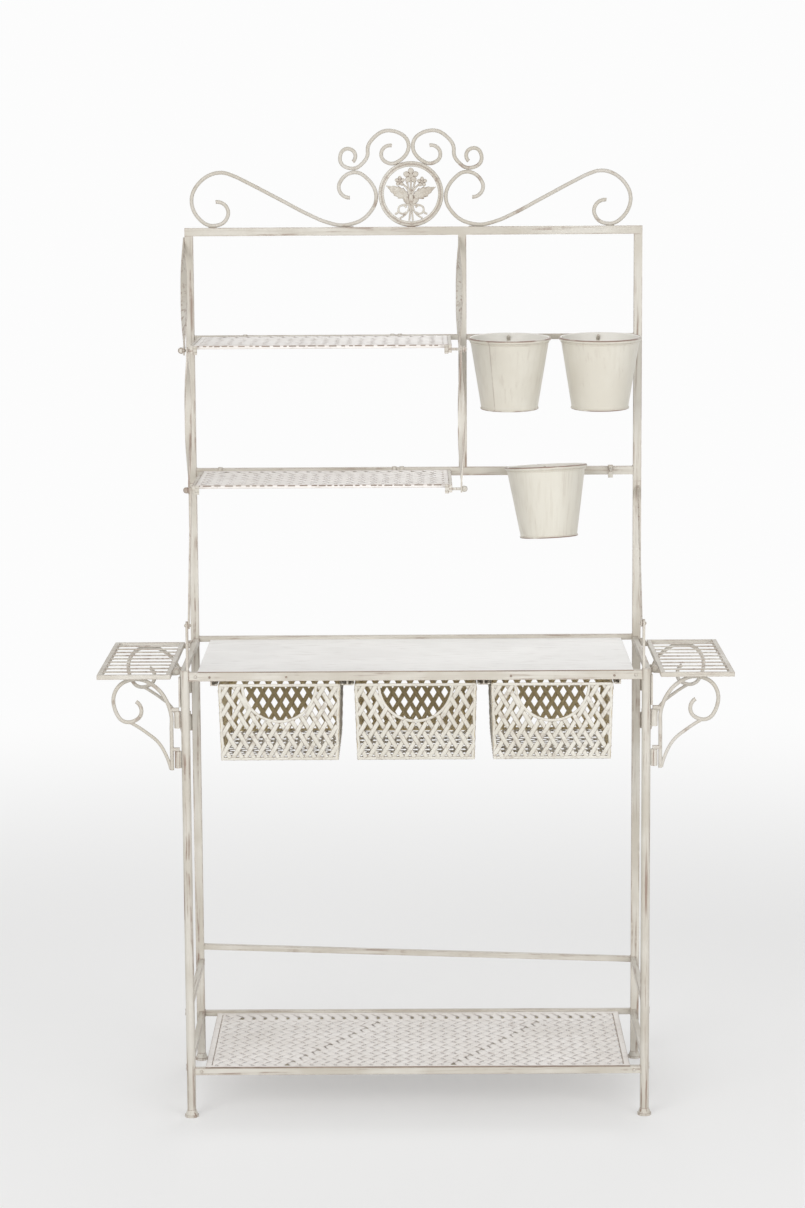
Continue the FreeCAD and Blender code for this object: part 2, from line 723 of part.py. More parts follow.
def pots_and_hooks():
    hooks = []
    places = {
        "pot_upper_left": (upper_pot_left_x, upper_peg_height, rail_face_y, upper_pot_lean, 0,
                           hook_top_share),
        "pot_upper_right": (upper_pot_right_x, upper_peg_height, rail_face_y, upper_pot_lean, 0,
                            hook_top_share),
        "pot_lower": (lower_pot_x, middle_shelf_height, post_face_y, lower_pot_lean, lower_pot_roll,
                      lower_hook_top_share),
    }
    for name, (x, height, face, lean, roll, top_share) in places.items():
        root = Vector(x, face - hook_thickness, height)
        hooks.append(hook(root, top_share))
        hole = root + peg_direction * (pot_gap / abs(peg_direction.y))
        drop = pot_height - pot_hole_drop
        radius = pot_base_diameter / 2 + (pot_top_diameter - pot_base_diameter) / 2 * drop / pot_height
        pot = pot_shell()
        pot.translate(hole - Vector(0, radius, drop))
        pot.rotate(hole, X, lean)
        pot.rotate(hole, Y, roll)
        reach = peg_direction * (2 * peg_length)
        drill = cylinder(root - reach, root + reach, peg_diameter + 2 * peg_clearance)
        export(name, pot.cut(drill))
    spare_root = Vector(spare_hook_x, post_face_y - hook_thickness, middle_shelf_height)
    hooks.append(hook(spare_root, hook_top_share))
    export("pot_hooks", *hooks)


def hook(root, top_share):
    """A strap on the cross rail with a rising peg; top_share of the strap is above the peg."""
    top = root.z + hook_height * top_share
    back = block(root.x - hook_width / 2, root.x + hook_width / 2, root.y, root.y + hook_thickness,
                 top - hook_height, top)
    inside = root - peg_direction * (hook_thickness / 2)
    return back.fuse(cylinder(inside, root + peg_direction * peg_length, peg_diameter))


def flaps():
    lugs = []
    for side in (left, right):
        name = side_name(side)
        near, far = side * flap_inner_x, side * flap_half_reach
        bar = side * flap_bar
        y0, y1 = flap_front_y, flap_rear_y
        solids = [
            block(near, far, y0, y0 + flap_bar, flap_bottom, flap_top),
            block(near, far, y1 - flap_bar, y1, flap_bottom, flap_top),
            block(near, near + bar, y0 + flap_bar, y1 - flap_bar, flap_bottom, flap_top),
            block(far - bar, far, y0 + flap_bar, y1 - flap_bar, flap_bottom, flap_top),
        ]
        for y in (front_y + hinge_inset, flap_rear_y - hinge_inset):
            axis = Vector(side * hinge_x, y, hinge_height)
            solids.append(hinge_eye(axis, near))
            lugs.append(hinge_lug(axis, side))
        lugs.append(hinge_post(side))
        export(f"flap_{name}_frame", *solids)
        slats = []
        step = (y1 - y0 - flap_bar) / (slat_count + 1)
        for i in range(slat_count):
            y = y0 + flap_bar / 2 + (i + 1) * step
            slats.append(block(near + bar, far - bar, y - slat_width / 2, y + slat_width / 2,
                               flap_top - slat_thickness, flap_top))
        export(f"flap_{name}_slats", *slats)
    export("flap_hinge_pins", *lugs)


def hinge_eye(axis, bar_x):
    """An eye with a short strap that carries it on the flap's inner bar."""
    half = Y * (hinge_eye_length / 2)
    eye = cylinder(axis - half, axis + half, hinge_eye_diameter)
    arm = block(axis.x, bar_x, axis.y - half.y, axis.y + half.y, flap_bottom, axis.z)
    bore = cylinder(axis - Y * hinge_eye_length, axis + Y * hinge_eye_length,
                    hinge_pin_diameter + 2 * pin_clearance)
    return eye.fuse(arm).cut(bore)


def hinge_lug(axis, side):
    """A lug on the side rail with a headed pin through the flap's eye."""
    face = axis + Y * (hinge_eye_length / 2 + fit_clearance)
    back = face + Y * lug_thickness
    end = axis - Y * (hinge_eye_length / 2 + fit_clearance)
    lug = cylinder(face, back, hinge_eye_diameter)
    half = hinge_eye_diameter / 2
    lug = lug.fuse(block(side * side_rail_outer, axis.x, face.y, back.y, axis.z - half, axis.z + half))
    pin = cylinder(back, end, hinge_pin_diameter)
    head = cylinder(end, end - Y * hinge_pin_head, hinge_eye_diameter - 2 * hinge_pin_head)
    return lug.fuse(pin).fuse(head)


def hinge_post(side):
    """A flat bar on the front leg, between the flap's hinge and the bracket's upper barrel."""
    near = side * (half_front + leg_radius + weld_gap)
    low = bracket_foot_height + upper_barrel_rise + barrel_height + hinge_post_gap
    return block(near, near + side * hinge_post_thickness, front_y - half_rail, front_y + half_rail,
                 low, flap_bottom)


def brackets():
    barrels = []
    corners = {
        "front": (half_front + leg_radius, front_y),
        "rear": (half_rear + half_post, rear_y),
    }
    for corner, (outer, y) in corners.items():
        for side in (left, right):
            axis = Vector(side * (outer + weld_gap + barrel_diameter / 2), y, bracket_foot_height)
            export(f"bracket_{corner}_{side_name(side)}", bracket(axis, side))
            for rise in (lower_barrel_rise, upper_barrel_rise):
                foot = axis + Z * rise
                shell = cylinder(foot, foot + Z * barrel_height, barrel_diameter)
                bore = cylinder(foot - Z * cut_overrun, foot + Z * (barrel_height + cut_overrun),
                                pin_diameter + 2 * pin_clearance)
                barrels.append(shell.cut(bore))
    export("hinge_barrels", *barrels)


def bracket(axis, side):
    """A scrolled rod with a strut below it and two pins that drop into the leg's barrels."""
    foot = axis + X * (side * rod_offset)
    def place(share):
        return foot + X * (side * share[0] * bracket_reach) + Z * (share[1] * bracket_height)
    body = rod([place(share) for share in bracket_scroll_shares], bracket_rod)
    body = body.fuse(rod([place(share) for share in bracket_strut_shares], bracket_rod * strut_share))
    half = pin_diameter / 2
    for rise in (lower_barrel_rise, upper_barrel_rise):
        seat = axis + Z * (rise + barrel_height + fit_clearance)
        body = body.fuse(block(axis.x - side * half, foot.x, axis.y - half, axis.y + half,
                               seat.z, seat.z + pin_diameter))
        body = body.fuse(cylinder(seat + Z * half, seat - Z * pin_depth, pin_diameter))
    return body


def crest():
    for side in (left, right):
        reach = crest_half_span - ring_side
        points = [Vector(crest_shift + side * (ring_side + across * reach), rear_y,
                         crest_bed + up * big_scroll_height) for across, up in big_scroll_shares]
        export(f"crest_scroll_{side_name(side)}", rod(points, crest_rod))
        inner = crest_rod / 2 + weld_gap / 2
        points = [Vector(crest_shift + side * (inner + across * top_scroll_width), rear_y,
                         top_scroll_bed + up * top_scroll_height) for across, up in top_scroll_shares]
        export(f"crest_top_scroll_{side_name(side)}", rod(points, crest_rod))
    centre = ring_centre()
    half = Y * (ring_thickness / 2)
    ring = cylinder(centre - half, centre + half, ring_diameter)
    ring = ring.cut(cylinder(centre - half, centre + half, ring_diameter - 2 * ring_band))
    export("crest_ring", ring.makeFillet(ring_edge, [e for e in ring.Edges if len(e.Vertexes) == 1]))


def ring_centre():
    return Vector(crest_shift, rear_y, top_rail_top + weld_gap + ring_diameter / 2)


def flower(centre):
    """A five-petalled plate with a domed heart, facing the front."""
    radius = flower_diameter / 2
    def rim(turn, reach):
        angle = 2 * math.pi * turn / petal_count
        return centre + X * (reach * math.sin(angle)) + Z * (reach * math.cos(angle))
    notch = radius * petal_notch_share
    edges = [Part.Arc(rim(i, notch), rim(i + 0.5, radius), rim(i + 1, notch)).toShape()
             for i in range(petal_count)]
    petals = Part.Face(Part.Wire(edges)).extrude(-Y * flower_thickness)
    return petals.fuse(dome(centre - Y * flower_thickness, -Y, flower_heart))


def leaf(root, tip):
    """A pointed leaf cut from plate."""
    middle = (root + tip) * 0.5
    aside = (tip - root).cross(Y).normalize() * (leaf_width / 2)
    edges = [Part.Arc(root, middle + aside, tip).toShape(), Part.Arc(tip, middle - aside, root).toShape()]
    return Part.Face(Part.Wire(edges)).extrude(Y * leaf_thickness)


def bouquet():
    centre = ring_centre()
    radius = ring_diameter / 2
    inner = radius - ring_band - weld_gap
    def place(share):
        return centre + X * (share[0] * radius) + Z * (share[1] * radius)
    bed = centre - Z * inner + Z * base_height
    half = Y * (ring_thickness / 2)
    base = cylinder(centre - half, centre + half, 2 * inner)
    base = base.common(block(-base_width, base_width, centre.y - radius, centre.y + radius,
                             centre.z - radius, bed.z))
    knot = place(knot_shares)
    stems = cylinder(bed, knot, stem_diameter).fuse(Part.makeSphere(stem_diameter * knot_share, knot))
    flowers = []
    for share in flower_shares:
        stems = stems.fuse(cylinder(knot, place(share), stem_diameter))
        flowers.append(flower(place(share) - Y * (stem_diameter / 2)))
    behind = Y * (stem_diameter * knot_share + weld_gap)
    leaves = []
    ribbons = []
    for side in (left, right):
        tip = place((side * leaf_tip_shares[0], leaf_tip_shares[1]))
        leaves.append(leaf(knot + X * (side * weld_gap) + behind, tip + behind))
        loop = bed + X * (side * (stem_diameter + ribbon_diameter) / 2) + Z * (ribbon_diameter / 2)
        loop = loop + (X * side + Z) * weld_gap
        ribbons.append(Part.makeTorus((ribbon_diameter - ribbon_rod) / 2, ribbon_rod / 2, loop, Y))
    export("crest_bouquet", base, stems, *flowers, *leaves, *ribbons)


rear_frame()
front_legs_and_rails()
feet()
leg_tabs_and_braces()
shelf_arms()
hanging_shelves()
table_and_lower_shelf()
basket_runners()
baskets()
pots_and_hooks()
flaps()
brackets()
crest()
bouquet()
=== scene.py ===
# %% [markdown]
# # Plant shelf
# A tall iron plant bench in rubbed antique cream: a back frame with a scrolled crest, two hanging
# shelves, three hanging pots, a table with woven baskets under it, two side flaps and a low shelf.
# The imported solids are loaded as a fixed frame. Bars, legs and scrolls already have their shape there
# and only need paint. Woven, cast and rolled pieces are rebuilt finer and stand for their solids.

# %% Load the frame
import bpy
import bmesh
import random
from itertools import product
from math import atan2, cos, degrees, dist, exp, hypot, pi, radians, sin, sqrt, tau
from mathutils import Matrix, Vector


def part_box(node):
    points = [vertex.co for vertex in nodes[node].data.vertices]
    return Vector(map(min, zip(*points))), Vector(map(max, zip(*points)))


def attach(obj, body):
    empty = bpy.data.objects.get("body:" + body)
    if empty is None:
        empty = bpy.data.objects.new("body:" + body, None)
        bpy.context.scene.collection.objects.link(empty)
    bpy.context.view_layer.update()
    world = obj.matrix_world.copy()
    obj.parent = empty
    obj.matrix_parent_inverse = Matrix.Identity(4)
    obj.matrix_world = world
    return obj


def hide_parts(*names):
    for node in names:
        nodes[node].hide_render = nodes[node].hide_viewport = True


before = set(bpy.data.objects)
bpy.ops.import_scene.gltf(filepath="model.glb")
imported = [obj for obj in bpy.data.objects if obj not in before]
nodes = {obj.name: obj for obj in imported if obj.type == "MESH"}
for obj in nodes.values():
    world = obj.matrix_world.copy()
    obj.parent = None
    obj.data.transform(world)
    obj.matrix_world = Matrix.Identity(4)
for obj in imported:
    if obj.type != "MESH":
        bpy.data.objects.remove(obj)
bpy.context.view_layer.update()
mm = 0.001
to_right, forward, up = Vector((1, 0, 0)), Vector((0, -1, 0)), Vector((0, 0, 1))

# %% [markdown]
# ## Camera
# The photograph was taken with a long lens, level with the hanging shelves and tipped a little down.
# A camera could be aimed with a constraint. Building its three axes from yaw, tilt and roll keeps
# every angle readable, and the matrix holds no hidden target object.

# %% Camera
def show(name, data):
    """Puts a mesh, a lamp or a camera in the scene, at the origin."""
    made = bpy.data.objects.new(name, data)
    bpy.context.scene.collection.objects.link(made)
    return made


photo_height = 1208
focal_pixels = 3220.7
eye = Vector((0.0084, -5.7991, 1.7773))
yaw, tilt, roll = (radians(a) for a in (-0.313, 8.515, -0.354))

ahead = Vector((sin(yaw), cos(yaw), 0))
across = Vector((cos(yaw), -sin(yaw), 0))
look = ahead * cos(tilt) - up * sin(tilt)
above = ahead * sin(tilt) + up * cos(tilt)
side_axis = across * cos(roll) + above * sin(roll)
top_axis = above * cos(roll) - across * sin(roll)

camera_data = bpy.data.cameras.new("camera")
camera_data.lens = focal_pixels * camera_data.sensor_width / photo_height
camera = show("camera", camera_data)
camera.matrix_world = Matrix.Translation(eye) @ Matrix((side_axis, top_axis, -look)).transposed().to_4x4()
bpy.context.scene.camera = camera
print("lens", round(camera_data.lens, 2), "mm")

# %% [markdown]
# ## Studio
# The picture has a white backdrop, a pale floor that fades into it, and light from all round with a
# broad lamp high on the left. The world is white only where the camera or a reflection looks at it,
# so the backdrop adds no extra light. The floor fades to that white with distance from the bench, and
# even beside the bench a share of it glows white: painted light that lifts the bench's shadow.

# %% Node helpers for the finishes
def feed(tree, slot, value):
    """Gives an input a value, or links an output to it."""
    if isinstance(value, bpy.types.NodeSocket):
        tree.links.new(value, slot)
    else:
        slot.default_value = value


def new_node(tree, kind, **values):
    """Adds a node; names of its inputs go in with spaces written as underscores."""
    node = tree.nodes.new(kind)
    for key, value in values.items():
        label = key.replace("_", " ")
        if label in node.inputs:
            feed(tree, node.inputs[label], value)
        else:
            setattr(node, key, value)
    return node


def maths(tree, operation, a, b=0.0, c=0.0, clamp=False):
    """One step of arithmetic; a, b and c are numbers or outputs."""
    node = tree.nodes.new("ShaderNodeMath")
    node.operation, node.use_clamp = operation, clamp
    for slot, value in zip(node.inputs, (a, b, c)):
        feed(tree, slot, value)
    return node.outputs[0]


def steps(tree, value, low, high):
    """A soft step from 0 at low to 1 at high."""
    node = new_node(tree, "ShaderNodeMapRange", interpolation_type="SMOOTHSTEP", Value=value, From_Min=low,
                    From_Max=high)
    return node.outputs["Result"]


print("helpers ready")

# %% World and lamps
backdrop_white = 0.975
sky_level = 0.54

world = bpy.data.worlds.new("studio")
bpy.context.scene.world = world
world.use_nodes = True
tree = world.node_tree
tree.nodes.clear()
path = new_node(tree, "ShaderNodeLightPath")
seen = maths(tree, "MAXIMUM", path.outputs["Is Camera Ray"], path.outputs["Is Glossy Ray"])
seen = maths(tree, "MAXIMUM", seen, path.outputs["Is Transmission Ray"])
light = new_node(tree, "ShaderNodeBackground", Color=(1, 1, 1, 1), Strength=sky_level)
white = new_node(tree, "ShaderNodeBackground", Color=(backdrop_white,) * 3 + (1,), Strength=1.0)
mix = new_node(tree, "ShaderNodeMixShader")
tree.links.new(seen, mix.inputs[0])
tree.links.new(light.outputs[0], mix.inputs[1])
tree.links.new(white.outputs[0], mix.inputs[2])
tree.links.new(mix.outputs[0], new_node(tree, "ShaderNodeOutputWorld").inputs[0])


def lamp(name, place, aim, size, power):
    data = bpy.data.lights.new(name, "AREA")
    data.shape, data.size, data.energy = "DISK", size, power
    turn = (Vector(aim) - Vector(place)).to_track_quat("-Z", "Y")
    show(name, data).matrix_world = Matrix.Translation(place) @ turn.to_matrix().to_4x4()


lamp("key_lamp", (-2.4, -4.4, 2.7), (0, 0, 0.8), 3.0, 105)
lamp("fill_lamp", (2.8, -4.2, 1.5), (0, 0, 0.6), 3.0, 80)
lamp("back_lamp", (0.6, 3.4, 3.6), (0, 0, 0.9), 2.4, 36)
bpy.context.scene.view_settings.view_transform = "Standard"
print("world and three lamps")

# %% Floor
floor_half = 9.0
floor_pale = (0.875, 0.873, 0.868, 1)
fade_start, fade_end, painted_floor_glow = 1.2, 4.0, 0.34

bpy.ops.mesh.primitive_plane_add(size=2 * floor_half, location=(0, 0, 0))
floor = bpy.context.object
floor.name = "floor"
paper = bpy.data.materials.new("floor_paper")
paper.use_nodes = True
tree = paper.node_tree
shader = tree.nodes["Principled BSDF"]
shader.inputs["Base Color"].default_value = floor_pale
shader.inputs["Roughness"].default_value = 0.85
shader.inputs["Specular IOR Level"].default_value = 0.15
place = new_node(tree, "ShaderNodeTexCoord").outputs["Object"]
far = new_node(tree, "ShaderNodeVectorMath", operation="LENGTH", Vector=place)
fade = steps(tree, far.outputs["Value"], fade_start, fade_end)
# Even beside the bench a share of the floor is white glow: painted light that lifts the bench's shadow.
fade = maths(tree, "MULTIPLY_ADD", fade, 1 - painted_floor_glow, painted_floor_glow)
glow = new_node(tree, "ShaderNodeEmission", Color=(backdrop_white,) * 3 + (1,), Strength=1.0)
path = new_node(tree, "ShaderNodeLightPath")
seen = maths(tree, "MAXIMUM", path.outputs["Is Camera Ray"], path.outputs["Is Glossy Ray"])
mix = new_node(tree, "ShaderNodeMixShader")
tree.links.new(maths(tree, "MULTIPLY", fade, seen), mix.inputs[0])
tree.links.new(shader.outputs[0], mix.inputs[1])
tree.links.new(glow.outputs[0], mix.inputs[2])
tree.links.new(mix.outputs[0], tree.nodes["Material Output"].inputs[0])
floor.data.materials.append(paper)
print("floor", 2 * floor_half, "m across")

# %% [markdown]
# ## Rubbed cream paint
# The iron is painted cream over a rose-brown undercoat. The maker rubs the paint back, so the brown
# shows along corners and in long thin streaks that follow each bar. Corner wear could be painted by
# hand. Here the Bevel node rounds the normal near an edge, and where that differs from the true normal
# the paint is thin. The streaks are noise squeezed across the bar and stretched along it.

# %% Paint helpers
def noise(tree, place, scale, detail=4.0, stretch=(1, 1, 1), offset=(0, 0, 0)):
    moved = new_node(tree, "ShaderNodeMapping", Scale=stretch, Location=offset, Vector=place).outputs[0]
    grain = new_node(tree, "ShaderNodeTexNoise", Scale=scale, Detail=detail, Roughness=0.55, Vector=moved)
    return grain.outputs["Fac"]


def blend(tree, factor, a, b):
    """Mixes two colours; each is a fixed colour or an output."""
    node = tree.nodes.new("ShaderNodeMix")
    node.data_type = "RGBA"
    for slot, value in ((0, factor), (6, a), (7, b)):
        feed(tree, node.inputs[slot], value)
    return node.outputs[2]


def with_normal(tree, direction):
    """How far a direction agrees with the true normal, from -1 to 1."""
    dot = new_node(tree, "ShaderNodeVectorMath", operation="DOT_PRODUCT", Vector=direction)
    feed(tree, dot.inputs[1], new_node(tree, "ShaderNodeNewGeometry").outputs["Normal"])
    return dot.outputs["Value"]


def edge_wear(tree, radius):
    """1 on sharp outer edges, 0 on open faces."""
    rounded = new_node(tree, "ShaderNodeBevel", samples=4, Radius=radius)
    return steps(tree, with_normal(tree, rounded.outputs[0]), 0.99, 0.86)


def crevice_shade(tree, reach):
    """Painted shade: 1 deep in corners and between strips, 0 on open faces."""
    shade = new_node(tree, "ShaderNodeAmbientOcclusion", samples=6, Distance=reach)
    return steps(tree, shade.outputs["AO"], 0.90, 0.42)


print("paint helpers ready")

# %% Paint recipe
cream = (0.645, 0.616, 0.556, 1)
warm_cream = (0.530, 0.491, 0.422, 1)
rose_brown = (0.270, 0.185, 0.145, 1)


def paint(name, base=cream, shade=warm_cream, rub=rose_brown, stretch=(1, 1, 1), streaks=0.8, sparse=0.44,
          wear=0.9, edge=2.2 * mm, dull=0.46, relief=0.35, painted_shade=0.0, reach=4 * mm, rub_and_shade_strength=0.0):
    """Cream over brown, with painted shade in crevices if asked, and a strength for meshes that carry a rub
    layer.
    """
    made = bpy.data.materials.new(name)
    made.use_nodes = True
    tree = made.node_tree
    shader = tree.nodes["Principled BSDF"]
    place = new_node(tree, "ShaderNodeTexCoord").outputs["Object"]
    clouds = noise(tree, place, 9.0, 3.0)
    brush = noise(tree, place, 1.0, 5.0, [190 * s for s in stretch])
    patches = noise(tree, place, 24.0, 4.0, offset=(3.1, 1.7, 0.4))
    tinted = blend(tree, steps(tree, clouds, 0.36, 0.68), base, shade)
    brushed = blend(tree, maths(tree, "MULTIPLY", steps(tree, brush, 0.42, 0.66), 0.7), tinted, shade)
    bare = steps(tree, patches, sparse, sparse + 0.16)
    thin = maths(tree, "MULTIPLY", steps(tree, brush, 0.53, 0.66), bare)
    thin = maths(tree, "MULTIPLY", thin, streaks)
    corner = maths(tree, "MULTIPLY", edge_wear(tree, edge), steps(tree, patches, 0.36, 0.56))
    wear_and_shade = maths(tree, "MAXIMUM", thin, maths(tree, "MULTIPLY", corner, wear))
    # Painted shade: the brown is laid into corners and crevices that the occlusion finds.
    if painted_shade:
        wear_and_shade = maths(tree, "MAXIMUM", wear_and_shade, maths(tree, "MULTIPLY", crevice_shade(tree, reach), painted_shade))
    # The rub layer is worn brown on the pots and painted shade along the edges of woven strips.
    if rub_and_shade_strength:
        layer = new_node(tree, "ShaderNodeAttribute", attribute_name="rub").outputs["Fac"]
        layer = maths(tree, "MULTIPLY", steps(tree, layer, 0.25, 0.80), steps(tree, patches, 0.30, 0.54))
        layer = maths(tree, "MULTIPLY", layer, rub_and_shade_strength)
        wear_and_shade = maths(tree, "MAXIMUM", wear_and_shade, layer)
    tree.links.new(blend(tree, wear_and_shade, brushed, rub), shader.inputs["Base Color"])
    gloss = maths(tree, "MULTIPLY_ADD", brush, 0.22, dull - 0.08)
    tree.links.new(gloss, shader.inputs["Roughness"])
    grit = noise(tree, place, 420.0, 3.0)
    height = maths(tree, "MULTIPLY_ADD", brush, 0.6, maths(tree, "MULTIPLY", grit, 0.4))
    height = maths(tree, "SUBTRACT", height, maths(tree, "MULTIPLY", wear_and_shade, 0.5))
    bump = new_node(tree, "ShaderNodeBump", Strength=relief, Distance=0.5 * mm, Height=height)
    tree.links.new(bump.outputs[0], shader.inputs["Normal"])
    return made


print("one recipe, brown under cream")

# %% Bar paints
upright = paint("cream_upright_bars", stretch=(1, 1, 0.035), streaks=0.9, sparse=0.37)
crosswise = paint("cream_cross_bars", stretch=(0.035, 1, 1))
deepwise = paint("cream_side_bars", stretch=(1, 0.035, 1))
scrolls = paint("cream_scrolls", (0.595, 0.563, 0.512, 1), warm_cream, stretch=(0.25, 1, 0.25), streaks=0.65)
# The castings take painted shade in their crevices.
casting = paint("cream_castings", stretch=(0.7, 0.7, 0.7), streaks=0.5, edge=1.0 * mm, painted_shade=0.95,
                reach=4 * mm)
# The bouquet is painted darker all over and takes the strongest painted shade in its crevices.
bouquet_paint = paint("shaded_bouquet", (0.600, 0.565, 0.500, 1), (0.480, 0.430, 0.360, 1),
                      stretch=(0.7, 0.7, 0.7), streaks=0.6, edge=0.8 * mm, painted_shade=1.0, reach=6 * mm)
rubbed_edge = paint("brown_rubbed_edges", (0.230, 0.172, 0.135, 1), (0.360, 0.290, 0.235, 1),
                    (0.150, 0.100, 0.075, 1), stretch=(0.05, 1, 1), wear=0.3)
print("paints:", ", ".join(m.name for m in (upright, crosswise, deepwise, scrolls, casting)))

# %% [markdown]
# ## White table top
# The table is a smooth sheet, whiter than the bars, with faint grey smudges from pots and hands and a
# brown line where its front edge is rubbed. It takes the same recipe with a cleaner base and almost
# no streaks.

# %% Sheet paints
table_white = (0.930, 0.922, 0.903, 1)
table_grey = (0.868, 0.858, 0.838, 1)
shelf_pale = (0.840, 0.806, 0.775, 1)
shelf_shade = (0.775, 0.735, 0.695, 1)
pot_cream = (0.690, 0.662, 0.585, 1)
pot_shade = (0.640, 0.606, 0.525, 1)
painted_inside_light = (0.860, 0.840, 0.790, 1)

tabletop = paint("white_table_sheet", table_white, table_grey, stretch=(0.12, 0.5, 1), streaks=0.10,
                 wear=0.85, edge=1.2 * mm, dull=0.48, relief=0.12)
# The shelf paint lays painted shade into crevices and along the strips' edges.
woven_shelf = paint("pale_woven_shelf", shelf_pale, shelf_shade, stretch=(0.4, 0.4, 0.4), streaks=0.25,
                    wear=0.3, edge=0.7 * mm, dull=0.42, painted_shade=0.42, reach=3 * mm, rub_and_shade_strength=0.4)
pot_paint = paint("cream_pot_paint", pot_cream, pot_shade, stretch=(0.8, 0.8, 0.03), streaks=0.12,
                  wear=0.5, edge=1.2 * mm, dull=0.36, relief=0.10, rub_and_shade_strength=1.0)
print("sheet paints ready")


# %% Painted light inside the pots
def colour_over(tree, mask, colour):
    """Covers a finished paint with another colour where the mask is 1."""
    slot = tree.nodes["Principled BSDF"].inputs["Base Color"]
    tree.links.new(blend(tree, mask, slot.links[0].from_socket, colour), slot)


# The inside of each pot is painted paler: painted light.
tree = pot_paint.node_tree
layer = new_node(tree, "ShaderNodeAttribute", attribute_name="rub").outputs["Fac"]
colour_over(tree, steps(tree, layer, -0.3, -0.8), painted_inside_light)
print("pot paint:", len(tree.nodes), "nodes")


# %% Paint the nodes that keep their shape
def dress(material, *names):
    for name in names:
        for slot in nodes[name].material_slots:
            slot.material = material


for side in ("left", "right"):
    dress(upright, *(f"{bar}_{side}" for bar in ("rear_leg", "upper_post", "front_leg", "brace")))
    dress(crosswise, f"flap_{side}_frame")
    dress(deepwise, f"flap_{side}_slats")
    dress(scrolls, *(f"{bar}_{side}" for bar in ("crest_scroll", "crest_top_scroll", "bracket_front",
                                                 "bracket_rear")))
dress(upright, "mid_post", "shelf_arm_left", "shelf_arm_mid", "feet", "leg_tabs", "frame_rivets",
      "ball_bolts", "wing_nuts", "pot_hooks", "flap_hinge_pins", "hinge_barrels")
dress(crosswise, "top_rail", "upper_cross_rail", "lower_cross_rail", "rear_table_rail", "rear_guard_rail",
      "rear_lower_rail", "table_front_rail", "lower_front_rail")
dress(deepwise, "table_side_rails", "guard_side_rails", "lower_side_rails", "shelf_side_bars",
      "lower_shelf_strips", "basket_runners")
dress(tabletop, "table_sheet")
print("painted", sum(1 for n in nodes.values() if n.material_slots), "nodes")

# %% [markdown]
# ## Woven strips
# Baskets and shelves are stamped to look woven: flat strips cross at about sixty degrees and pass over
# and under each other. Each strip could be a curve with a bevel. One node tree makes them all: it takes
# the strips' centre lines, lifts and lowers them in a wave, and sweeps a ridged profile along them. The
# tree's inputs give width, thickness and wave, so baskets and shelves share it.

# %% Tree helpers
def start_tree(name, inputs):
    """A node tree with geometry in and out and the named inputs between them."""
    tree = bpy.data.node_groups.new(name, "GeometryNodeTree")
    tree.interface.new_socket("Geometry", in_out="INPUT", socket_type="NodeSocketGeometry")
    for label, kind in inputs:
        tree.interface.new_socket(label, in_out="INPUT", socket_type="NodeSocket" + kind)
    tree.interface.new_socket("Geometry", in_out="OUTPUT", socket_type="NodeSocketGeometry")
    return tree, tree.nodes.new("NodeGroupInput"), tree.nodes.new("NodeGroupOutput")


def named(tree, label, kind="FLOAT"):
    node = new_node(tree, "GeometryNodeInputNamedAttribute", data_type=kind)
    node.inputs["Name"].default_value = label
    return node.outputs["Attribute"]


def chain(tree, *made):
    """Joins nodes first output to first input, in order."""
    for a, b in zip(made, made[1:]):
        tree.links.new(a.outputs[0], b.inputs[0])


def end_tree(tree, last, source, result):
    """Ends a tree with smooth shading, real meshes and the material that was given."""
    chain(tree, last, new_node(tree, "GeometryNodeSetShadeSmooth"),
          new_node(tree, "GeometryNodeRealizeInstances"),
          new_node(tree, "GeometryNodeSetMaterial", Material=source.outputs["Material"]), result)


def grow(tree, mesh, name, **values):
    """Runs a tree on a mesh and returns a plain mesh object."""
    made = show(name, mesh)
    modifier = made.modifiers.new("tree", "NODES")
    modifier.node_group = tree
    for item in tree.interface.items_tree:
        key = item.name.replace(" ", "_")
        if item.in_out == "INPUT" and key in values:
            modifier[item.identifier] = values[key]
    shown = made.evaluated_get(bpy.context.evaluated_depsgraph_get())
    plain = bpy.data.meshes.new_from_object(shown)
    made.modifiers.clear()
    made.data = plain
    plain.name = name
    return made


print("tree helpers ready")

# %% Strip tree
strip_tree, source, result = start_tree("woven_strips", (
    ("Strip Width", "Float"), ("Strip Thickness", "Float"), ("Ridge", "Float"),
    ("Wave Height", "Float"), ("Material", "Material")))
tree = strip_tree
face = named(tree, "face", "FLOAT_VECTOR")
lift = maths(tree, "MULTIPLY", source.outputs["Wave Height"], named(tree, "lift"))
offset = new_node(tree, "ShaderNodeVectorMath", operation="SCALE", Vector=face, Scale=lift)
sweep = new_node(tree, "GeometryNodeCurveToMesh", Fill_Caps=True)
chain(tree, source, new_node(tree, "GeometryNodeMeshToCurve"),
      new_node(tree, "GeometryNodeSetCurveRadius", Radius=named(tree, "width")),
      new_node(tree, "GeometryNodeSetPosition", Offset=offset.outputs[0]),
      new_node(tree, "GeometryNodeSetCurveNormal", mode="FREE", Normal=face), sweep)
end_tree(tree, sweep, source, result)

here = new_node(tree, "GeometryNodeInputPosition").outputs[0]
spot = new_node(tree, "ShaderNodeSeparateXYZ", Vector=here).outputs
ridges = maths(tree, "COSINE", maths(tree, "MULTIPLY", spot["Y"], 6 * pi))
ridges = maths(tree, "MULTIPLY", ridges, source.outputs["Ridge"])
thick = maths(tree, "MULTIPLY", spot["X"], source.outputs["Strip Thickness"])
thick = maths(tree, "MULTIPLY_ADD", ridges, maths(tree, "SIGN", spot["X"]), thick)
wide = maths(tree, "MULTIPLY", spot["Y"], source.outputs["Strip Width"])
joined = new_node(tree, "ShaderNodeCombineXYZ", X=thick, Y=wide)
